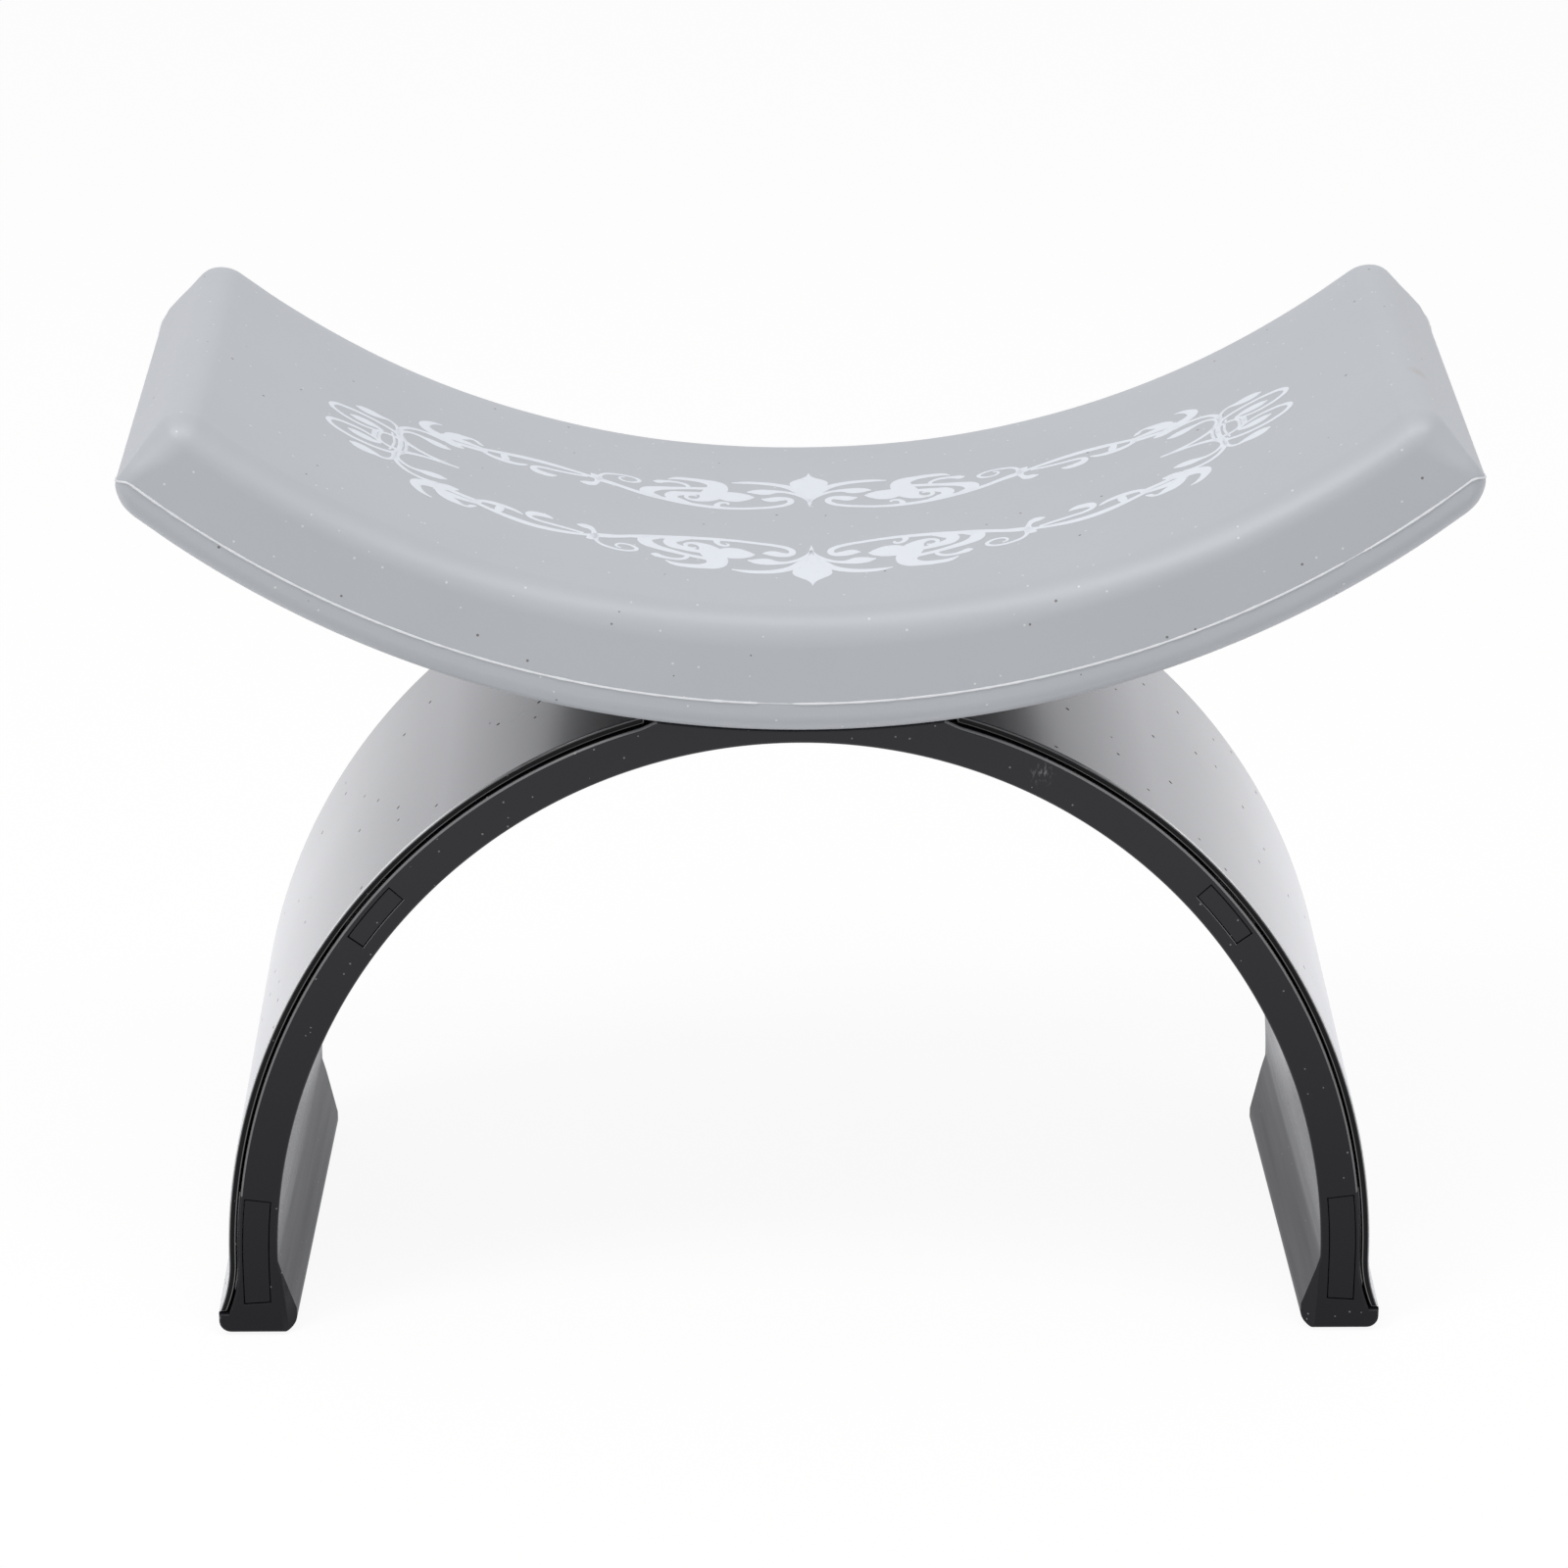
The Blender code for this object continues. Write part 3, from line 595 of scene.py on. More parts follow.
# Painted highlight: near-white base colours for the covers' outer rims, standing in for the line of
# light along them.
COVER_RIM_WHITES = ((0.72, 0.73, 0.75, 1), (0.88, 0.89, 0.91, 1))
SHADED_HEIGHTS = (0.1090, 0.1240)     # the gloss dies away under the cushion
RIM_HIGHLIGHT_FADE_HEIGHTS = (0.1060, 0.1195)     # and so does the painted highlight on the rims

gloss_black, shader, place = new_finish("gloss_black_abs", IOR=1.62, Coat_IOR=1.68,
                                        Coat_Roughness=0.21)
motes = specks(place, scale=220, size=0.088, share=0.60)
haze = in_range(mottled(place, scale=26, detail=4.0), 0.20, 0.30)
open_to_light = by_height(place, SHADED_HEIGHTS, 1.0, 0.28)
waves = mottled(place, scale=34, detail=1.0, stretch=(1.0, 0.25, 1.0))
feed(shader, {"Base Color": blend_colour(motes, GLOSS_BLACK, MOTE_GREY),
              "Specular IOR Level": in_range(motes, 0.5, 0.0),
              "Roughness": combined('MAXIMUM', haze, motes),
              "Coat Weight": combined('MULTIPLY', in_range(motes, 1.0, 0.0), open_to_light),
              "Normal": relief(waves, depth=0.00006)})

raw_black, shader, place = new_finish("raw_edge_black_abs", Specular_IOR_Level=0.15)
tool_marks = mottled(place, scale=1400, detail=2.0)
dust = specks(place, scale=330, size=0.060, share=0.5)
feed(shader, {"Base Color": blend_colour(dust, RAW_BLACK, EDGE_DUST),
              "Roughness": in_range(tool_marks, 0.45, 0.65)})

# The covers' outer rims: a painted highlight in the base colour, which fades out under the cushion.
cover_rim_highlight, shader, place = new_finish("cover_rim_highlight_abs", IOR=1.8)
rim_mottle = mottled(place, scale=500, detail=2.0)
painted_rim_highlight = blend_colour(rim_mottle, *COVER_RIM_WHITES)
rim_highlight_fade = by_height(place, RIM_HIGHLIGHT_FADE_HEIGHTS, 0.0, 1.0)
feed(shader, {"Base Color": blend_colour(rim_highlight_fade, painted_rim_highlight, GLOSS_BLACK),
              "Roughness": in_range(rim_mottle, 0.10, 0.30)})

COVER_FINISHES = [gloss_black, raw_black, satin_black, cover_rim_highlight]
GLOSSY, RAW, SATIN, HIGHLIGHTED_RIM = range(4)


def cover_finish(face):
    """Raw on the flat front and back edges, a painted highlight on their outer rims, satin on the
    noses.
    """
    from_edge = COVER_HALF_DEPTH - abs(face.center.y)
    if from_edge < -HAIR:
        return SATIN
    if abs(face.normal.y) > 0.99 and from_edge < HAIR:
        return RAW
    on_rim = from_edge < COVER_ROUNDING and abs(face.normal.y) > 0.1
    return HIGHLIGHTED_RIM if on_rim and outward(face) > 0.03 else GLOSSY


outside, inside = [
    along_arch(offset, 0, turn_at_across(offset, COVER_END), turn_at_height(offset, FLARE_TOP_Z))
    + flare(offset, 0, foot_x, LEDGE_Z + LEDGE_GAP)
    for offset, foot_x in ((COVER_OUTSIDE, FOOT_OUT_X),
                           (COVER_INSIDE, FOOT_OUT_X - COVER_THICKNESS))]
for side, end in ((-1, "left"), (1, "right")):
    shape = bmesh.new()
    for y in (-COVER_HALF_DEPTH, COVER_HALF_DEPTH):
        filled_outline(shape, [Vector((side * point.x, y, point.z))
                               for point in outside + inside[::-1]], mirrored=False)
    bmesh.ops.bridge_loops(shape, edges=shape.edges[:])
    rims = level_edges(shape, Y, -COVER_HALF_DEPTH) + level_edges(shape, Y, COVER_HALF_DEPTH)
    round_over(shape, rims, COVER_ROUNDING, segments=3)
    stand_cover = new_piece("stand_cover_" + end, shape)
    root = (COVER_INSIDE + COVER_OUTSIDE) / 2
    arm_y = inside_y - TAB_GAP
    arms, noses = [], []
    for height, length, inset, width in WINDOWS:
        low, high = inset + TAB_GAP, inset + width - TAB_GAP
        turns = window_turns(height, length, inset, width, TAB_GAP)
        for face_y in (-1, 1):
            depths = sorted((face_y * (arm_y - TAB_ARM), face_y * arm_y))
            arms.append(arch_block((low, root), depths, turns, side))
            depths = sorted((face_y * (arm_y - TAB_ARM / 2), face_y * NOSE_Y))
            nose = arch_block((low, high), depths, turns, side)
            round_over(nose, level_edges(nose, Y, face_y * NOSE_Y), NOSE_ROUNDING, segments=2)
            noses.append(nose)
    carve(stand_cover, [gather(arms), gather(noses)], 'UNION')
    smooth(stand_cover, COVER_FINISHES, pick=cover_finish)
    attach(stand_cover, "stand")
    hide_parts("outer_cover_" + end)


# ---- Base plate ----
# Grey ABS plate that closes the cushion from below: a flange lies over the sleeve's lip, a shallow
# pan fills its opening, and four pegs drop into the sockets of the cradle. It is drawn flat, with X
# along the arc and Z up from the cushion's underside, and then bent.
ARC_DEPTH = 0.0068            # lengths along the arc are true this far over the underside
ARC_RADIUS = CUSHION_RADIUS - ARC_DEPTH
CAVITY_ARC, CAVITY_DEPTH = 0.2586, 0.0882
OPENING_ARC, OPENING_DEPTH = 0.2366, 0.0678
FLANGE_LOW, FLANGE_TOP = 0.0031, 0.0051
PAN_FLOOR = 0.0024
PAN_WALL = 0.0020
INNER_GAP = 0.0003
PLATE_ROUNDING = 0.0004
PEG_LENGTH = 0.0046           # down from the pan's floor
PEG_ROUNDING = 0.0008
SHARP_ANGLE = radians(60)     # edges sharper than this are rounded
BEND_STEP = 0.0040
ABS_GREYS = ((0.275, 0.275, 0.285, 1), (0.325, 0.325, 0.335, 1))


def slab(length, depth, low, high):
    return block((-length / 2, -depth / 2, low), (length / 2, depth / 2, high))


def bend(shape):
    """Bend a flat form round the cushion's axis."""
    for vert in shape.verts:
        turn = vert.co.x / ARC_RADIUS
        radius = CUSHION_RADIUS - vert.co.z
        vert.co.x = radius * sin(turn)
        vert.co.z = CUSHION_AXIS_Z - radius * cos(turn)


def carried_on(shape, faces, scale=(1, 1, 1), rise=0.0):
    """Extrude a flat patch: scale it about the middle and lift it. Returns the new patch."""
    made = bmesh.ops.extrude_face_region(shape, geom=faces)["geom"]
    bmesh.ops.delete(shape, geom=[face for face in faces if face.is_valid], context='FACES')
    verts = [part for part in made if isinstance(part, bmesh.types.BMVert)]
    bmesh.ops.scale(shape, vec=scale, verts=verts)
    bmesh.ops.translate(shape, vec=(0, 0, rise), verts=verts)
    return [part for part in made if isinstance(part, bmesh.types.BMFace)]


grey_abs, shader, place = new_finish("grey_abs", Specular_IOR_Level=0.45)
texture = mottled(place, scale=1700, detail=2.0)
cloud = mottled(place, scale=30)
feed(shader, {"Base Color": blend_colour(cloud, *ABS_GREYS),
              "Roughness": in_range(texture, 0.38, 0.52),
              "Normal": relief(texture, depth=0.00003)})

flange_arc, flange_depth = CAVITY_ARC - 2 * INNER_GAP, CAVITY_DEPTH - 2 * INNER_GAP
pan_arc, pan_depth = OPENING_ARC - 2 * INNER_GAP, OPENING_DEPTH - 2 * INNER_GAP
hollow_arc, hollow_depth = pan_arc - 2 * PAN_WALL, pan_depth - 2 * PAN_WALL
shape = slab(flange_arc, flange_depth, FLANGE_LOW, FLANGE_TOP)
for facing, arc, depth, rise in ((-1, pan_arc, pan_depth, -FLANGE_LOW),
                                 (1, hollow_arc, hollow_depth, PAN_FLOOR - FLANGE_TOP)):
    patch = [face for face in shape.faces if face.normal.z * facing > 0.9]
    patch = carried_on(shape, patch, scale=(arc / flange_arc, depth / flange_depth, 1))
    carried_on(shape, patch, rise=rise)
bmesh.ops.recalc_face_normals(shape, faces=shape.faces)
round_over(shape, [edge for edge in shape.edges if edge.calc_face_angle() > SHARP_ANGLE],
           PLATE_ROUNDING, segments=3)
cut_loops(shape, X, steps(-pan_arc / 2, pan_arc / 2, BEND_STEP))
bend(shape)
cushion_base = new_piece("cushion_base", shape)
peg_top = PEG_BOTTOM + PEG_LENGTH + PAN_FLOOR / 2
carve(cushion_base, [pegs(PEG_RADIUS, PEG_BOTTOM, peg_top, PEG_ROUNDING)], 'UNION')
smooth(cushion_base, [grey_abs])
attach(cushion_base, "cushion")
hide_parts("base_plate")


# ---- Foam core ----
# Block of cream open-cell foam that fills the sleeve above the base plate, with a lower step that
# fills the plate's pan. Its edges are soft, as foam's are, and it is bent as the plate is.
CAVITY_TOP = 0.0200
FOAM_ROUNDING = 0.0015
FOAM_INSET = INNER_GAP + PAN_WALL + INNER_GAP
FOAM_CREAMS = ((0.50, 0.46, 0.36, 1), (0.82, 0.78, 0.66, 1))

cream_foam, shader, place = new_finish("cream_foam", Roughness=0.95, Specular_IOR_Level=0.15)
pores = put(place, "TexVoronoi", {"Vector": place, "Scale": 1100}).outputs["Distance"]
feed(shader, {"Base Color": blend_colour(pores, *FOAM_CREAMS),
              "Normal": relief(pores, depth=0.0004)})

foam_arc, foam_depth = CAVITY_ARC - 2 * INNER_GAP, CAVITY_DEPTH - 2 * INNER_GAP
shape = slab(foam_arc, foam_depth, FLANGE_TOP + INNER_GAP, CAVITY_TOP - INNER_GAP)
step_arc, step_depth = OPENING_ARC - 2 * FOAM_INSET, OPENING_DEPTH - 2 * FOAM_INSET
patch = carried_on(shape, [face for face in shape.faces if face.normal.z < -0.9],
                   scale=(step_arc / foam_arc, step_depth / foam_depth, 1))
carried_on(shape, patch, rise=PAN_FLOOR - FLANGE_TOP)
bmesh.ops.recalc_face_normals(shape, faces=shape.faces)
outer_edges = [edge for edge in shape.edges if edge.calc_face_angle() > SHARP_ANGLE
               and abs(edge.verts[0].co.y) > OPENING_DEPTH / 2]
round_over(shape, outer_edges, FOAM_ROUNDING, segments=4)
cut_loops(shape, X, steps(-OPENING_ARC / 2, OPENING_ARC / 2, BEND_STEP))
bend(shape)
cushion_foam = new_piece("cushion_foam", shape)
smooth(cushion_foam, [cream_foam])
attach(cushion_foam, "cushion")
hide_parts("foam_core")


# ---- Cushion skin ----
# Moulded sleeve of matt grey silicone, 3 mm thick, with well rounded rims, a low crown, sides that
# lean in, and a lip for the base plate. It is drawn flat, its corners and ends are eased to shape,
# then hollowed from below and bent. Silicone keeps its moulded form, so nothing is simulated.
CUSHION_ARC, CUSHION_DEPTH = 0.2646, 0.0958
CUSHION_THICKNESS = 0.0230
CUSHION_CROWN = 0.0012
RIM_FALL = 0.0012             # how far the top's long rims fall towards the ends
PARTING_HEIGHT = 0.00655
SIDE_DRAFT = 0.0008
UNDER_RISE = 0.0010           # below the parting line the rim is drawn up towards the ends,
END_LEAN = 0.0008             # and the ends lean in
TOP_ROUNDING = 0.0060
BOTTOM_ROUNDING = 0.0042
CORNER_ROUNDING = 0.0065
CORNER_DRAW = 0.0040          # the upright corners are tighter by this at the parting line
LIP_THICKNESS = 0.0028
FALL_SHARE = 0.7              # the rims have fallen all the way at this share of the half length
UNEVENNESS = 0.00010
UNEVEN_SCALE = 35
SKIN_STEP = 0.0020
SIDE_STEP = 0.0035
TOP_STEP = 0.0060
TOP_MARGIN = 0.0040

SILICONE_GREYS = ((0.512, 0.538, 0.577, 1), (0.546, 0.572, 0.609, 1))
LINT_WHITE, LINT_DARK = (0.73, 0.75, 0.77, 1), (0.20, 0.19, 0.19, 1)
SMUDGE_BROWN = (0.42, 0.36, 0.30, 1)
SMUDGE_PLACE = (0.1135, -0.0203, 0.1873)
SMUDGE_REACH = 0.0027

silicone, shader, place = new_finish("grey_silicone", Roughness=0.44, Specular_IOR_Level=0.62,
                                     Sheen_Weight=0.12, Sheen_Roughness=0.5)
colour = blend_colour(mottled(place, scale=38, detail=4.0), *SILICONE_GREYS)
smudge = near_point(place, SMUDGE_PLACE, SMUDGE_REACH, most=0.42)
colour = blend_colour(smudge, colour, SMUDGE_BROWN)
colour = blend_colour(specks(place, scale=420, size=0.100, share=0.34), colour, LINT_WHITE)
colour = blend_colour(specks(place, scale=200, size=0.055, share=0.45), colour, LINT_DARK)
matt = mottled(place, scale=1500, detail=2.0)
dimple = mottled(place, scale=160, detail=2.0)
feed(shader, {"Base Color": colour,
              "Normal": relief(matt, depth=0.000018, under=relief(dimple, depth=0.00005))})


def eased(share):
    """A share of the way, held to 0..1, that starts and ends gently."""
    share = max(0, min(1, share))
    return share ** 2 * (3 - 2 * share)


def swell(x, y):
    """How far the cushion's top stands over a plain arc."""
    along, across = 2 * x / CUSHION_ARC, 2 * y / CUSHION_DEPTH
    crown = CUSHION_CROWN * (1 - along ** 2) * (1 - across ** 2)
    fall = RIM_FALL * eased(abs(along) / FALL_SHARE) * across ** 4
    uneven = UNEVENNESS * noise.noise(Vector((x * UNEVEN_SCALE, y * UNEVEN_SCALE, 0)))
    return crown - fall + uneven


def past_core(place):
    """How far a place is beyond the middles of the corner rounds, along and across."""
    past_rims = Vector((abs(place.x) - CUSHION_ARC / 2, abs(place.y) - CUSHION_DEPTH / 2, 0))
    return past_rims + Vector((CORNER_ROUNDING, CORNER_ROUNDING, 0))


def cornered(place):
    """Draw the body's upright corners out to a tighter round at the parting line."""
    past = past_core(place)
    if min(past.x, past.y) < -HAIR or past.length < HAIR:
        return place
    facing = past.normalized()
    if place.z < PARTING_HEIGHT:
        draw = CORNER_DRAW * eased(place.z / PARTING_HEIGHT)
    else:
        upright = CUSHION_THICKNESS - TOP_ROUNDING - PARTING_HEIGHT
        draw = CORNER_DRAW * (1 - eased((place.z - PARTING_HEIGHT) / upright))
    return place + Vector((copysign(draw * (1 - facing.x), place.x),
                           copysign(draw * (1 - facing.y), place.y), 0))


def relieved(place):
    """Below the parting line, draw the rim up towards the ends and lean the ends in."""
    down = max(0, 1 - place.z / PARTING_HEIGHT)
    past_x = eased(2 * (abs(place.x) - OPENING_ARC / 2) / (CUSHION_ARC - OPENING_ARC))
    past_y = eased(2 * (abs(place.y) - OPENING_DEPTH / 2) / (CUSHION_DEPTH - OPENING_DEPTH))
    along = abs(2 * place.x / CUSHION_ARC)
    lean = copysign(END_LEAN * past_x * down, place.x)
    rise = UNDER_RISE * along ** 3 * max(past_x, past_y) * down
    return Vector((place.x - lean, place.y, place.z + rise))


shape = slab(CUSHION_ARC, CUSHION_DEPTH, 0, CUSHION_THICKNESS)
round_over(shape, upright_edges(shape), CORNER_ROUNDING, segments=10)
round_over(shape, level_edges(shape, Z, CUSHION_THICKNESS), TOP_ROUNDING, segments=10)
round_over(shape, level_edges(shape, Z, 0), BOTTOM_ROUNDING, segments=8)
cut_loops(shape, Z, steps(PARTING_HEIGHT, CUSHION_THICKNESS - TOP_ROUNDING, SIDE_STEP)[:-1])
for vert in shape.verts:
    vert.co = cornered(vert.co)
    rise = max(0, vert.co.z - PARTING_HEIGHT) / (CUSHION_THICKNESS - PARTING_HEIGHT)
    vert.co.y *= 1 - rise * 2 * SIDE_DRAFT / CUSHION_DEPTH
flat_half = CUSHION_DEPTH / 2 - TOP_ROUNDING
cut_loops(shape, Y, [-OPENING_DEPTH / 2, OPENING_DEPTH / 2]
          + steps(-flat_half + TOP_MARGIN, flat_half - TOP_MARGIN, TOP_STEP))
cut_loops(shape, X, steps(-OPENING_ARC / 2, OPENING_ARC / 2, SKIN_STEP))
for vert in shape.verts:
    vert.co = relieved(vert.co)
    share = eased((vert.co.z - CUSHION_THICKNESS + TOP_ROUNDING) / TOP_ROUNDING)
    vert.co.z += share * swell(vert.co.x, vert.co.y)
patch = [face for face in shape.faces if face.normal.z < -0.99
         and abs(face.calc_center_median().x) < OPENING_ARC / 2
         and abs(face.calc_center_median().y) < OPENING_DEPTH / 2]
patch = carried_on(shape, patch, rise=LIP_THICKNESS)
patch = carried_on(shape, patch, scale=(CAVITY_ARC / OPENING_ARC, CAVITY_DEPTH / OPENING_DEPTH, 1))
carried_on(shape, patch, rise=CAVITY_TOP - LIP_THICKNESS)
bend(shape)
cushion_skin = new_piece("cushion_skin", shape)
smooth(cushion_skin, [silicone], crease=radians(50))
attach(cushion_skin, "cushion")
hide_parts("cushion_sleeve")


# ---- Parting flash ----
# Thin ridge of silicone where the halves of the sleeve's mould met, coloured near white as a
# painted
# highlight: level along the sides, and dipping round the corners to the underside of the ends. A
# rounded loop is swept with a fine bead of uneven thickness, nicked in places, and bent.
FLASH_RADIUS = 0.00021
FLASH_STEP = 0.0006
FLASH_DIP = 0.0048
DIP_RUN = 0.0030              # along the end, past the corner
CORNER_DIP = 0.6              # share of the dip that is taken round the corner
BEAD_CHANGE, BEAD_SCALE = 0.45, 420
NICK_LEVEL, NICK_SCALE, NICK_SEED = 0.52, 95, Vector((7, 3, 1))
NICKED_RADIUS = 0.35          # share of the bead's radius that a nick leaves
SAME_PLACE = 0.000001         # points of a swept line that are closer than this are one
# The bead's near-white colour is a painted highlight along the ridge.
FLASH_HIGHLIGHT_WHITES = ((0.78, 0.80, 0.83, 1), (0.94, 0.96, 0.99, 1))

flash_highlight_silicone, shader, place = new_finish("flash_highlight_silicone", Roughness=0.5)
feed(shader, {"Base Color": blend_colour(mottled(place, scale=700), *FLASH_HIGHLIGHT_WHITES)})

shape = bmesh.new()
bmesh.ops.create_grid(shape, x_segments=1, y_segments=1, size=0.5)
bmesh.ops.scale(shape, vec=(CUSHION_ARC, CUSHION_DEPTH, 1), verts=shape.verts)
round_over(shape, shape.verts[:], CORNER_ROUNDING, segments=12, affect='VERTICES')
for edge in [edge for edge in shape.edges if edge.calc_length() > 2 * FLASH_STEP]:
    bmesh.ops.subdivide_edges(shape, edges=[edge], cuts=ceil(edge.calc_length() / FLASH_STEP) - 1)
level_face = max(shape.faces, key=lambda face: len(face.verts))
loop = [corner.vert.co.copy() for corner in level_face.loops]
shape.free()
line = bpy.data.curves.new("flash_line", 'CURVE')
line.dimensions = '3D'
line.bevel_depth = FLASH_RADIUS
line.bevel_resolution = 1
spline = line.splines.new('POLY')
spline.points.add(len(loop) - 1)
spline.use_cyclic_u = True
for point, at in zip(spline.points, loop):
    past = past_core(at)
    facing = Vector((max(0, past.x), max(0, past.y), 0)).normalized()
    round_share = atan2(facing.x, facing.y) / (pi / 2)
    end_share = max(0, -past.y) / DIP_RUN * (past.x > 0)
    dip = eased(CORNER_DIP * round_share + (1 - CORNER_DIP) * end_share)
    height = PARTING_HEIGHT - FLASH_DIP * dip
    under = max(0, BOTTOM_ROUNDING - height)
    inset = BOTTOM_ROUNDING - sqrt(BOTTOM_ROUNDING ** 2 - under ** 2)
    on_side = cornered(Vector((at.x, at.y, height)))
    on_side -= Vector((copysign(facing.x, at.x), copysign(facing.y, at.y), 0)) * inset
    point.co = (*relieved(on_side), 1)
    point.radius = 1 + BEAD_CHANGE * noise.noise(at * BEAD_SCALE)
    if noise.noise(at * NICK_SCALE + NICK_SEED) > NICK_LEVEL:
        point.radius *= NICKED_RADIUS


def mesh_of(line):
    """The swept form of a line, as a bmesh."""
    carrier = placed(line.name, line)
    mesh = bpy.data.meshes.new_from_object(
        carrier.evaluated_get(bpy.context.evaluated_depsgraph_get()))
    shape = bmesh.new()
    shape.from_mesh(mesh)
    bmesh.ops.remove_doubles(shape, verts=shape.verts, dist=SAME_PLACE)
    bpy.data.objects.remove(carrier)
    bpy.data.curves.remove(line)
    bpy.data.meshes.remove(mesh)
    return shape


shape = mesh_of(line)
bend(shape)
cushion_flash = new_piece("cushion_parting_flash", shape)
smooth(cushion_flash, [flash_highlight_silicone])
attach(cushion_flash, "cushion")


# ---- Printed ornament ----
# Oval border of scrollwork in white ink on the cushion's top, with a bare middle. A quarter of it
# is a set of pen strokes, each a list of (along, across, width) in millimetres from the middle.
# The strokes are swept, pressed flat to the ink's thickness and laid on the curved top.
PRINT_MIDDLE = (0.00255, -0.00336)
INK_TOP = 0.00005
INK_UNDER = -0.00005
INK_EDGE = 0.00001
MILLIMETRE = 0.001
INK_WHITES = ((0.88, 0.92, 0.99, 1), (0.78, 0.82, 0.89, 1))

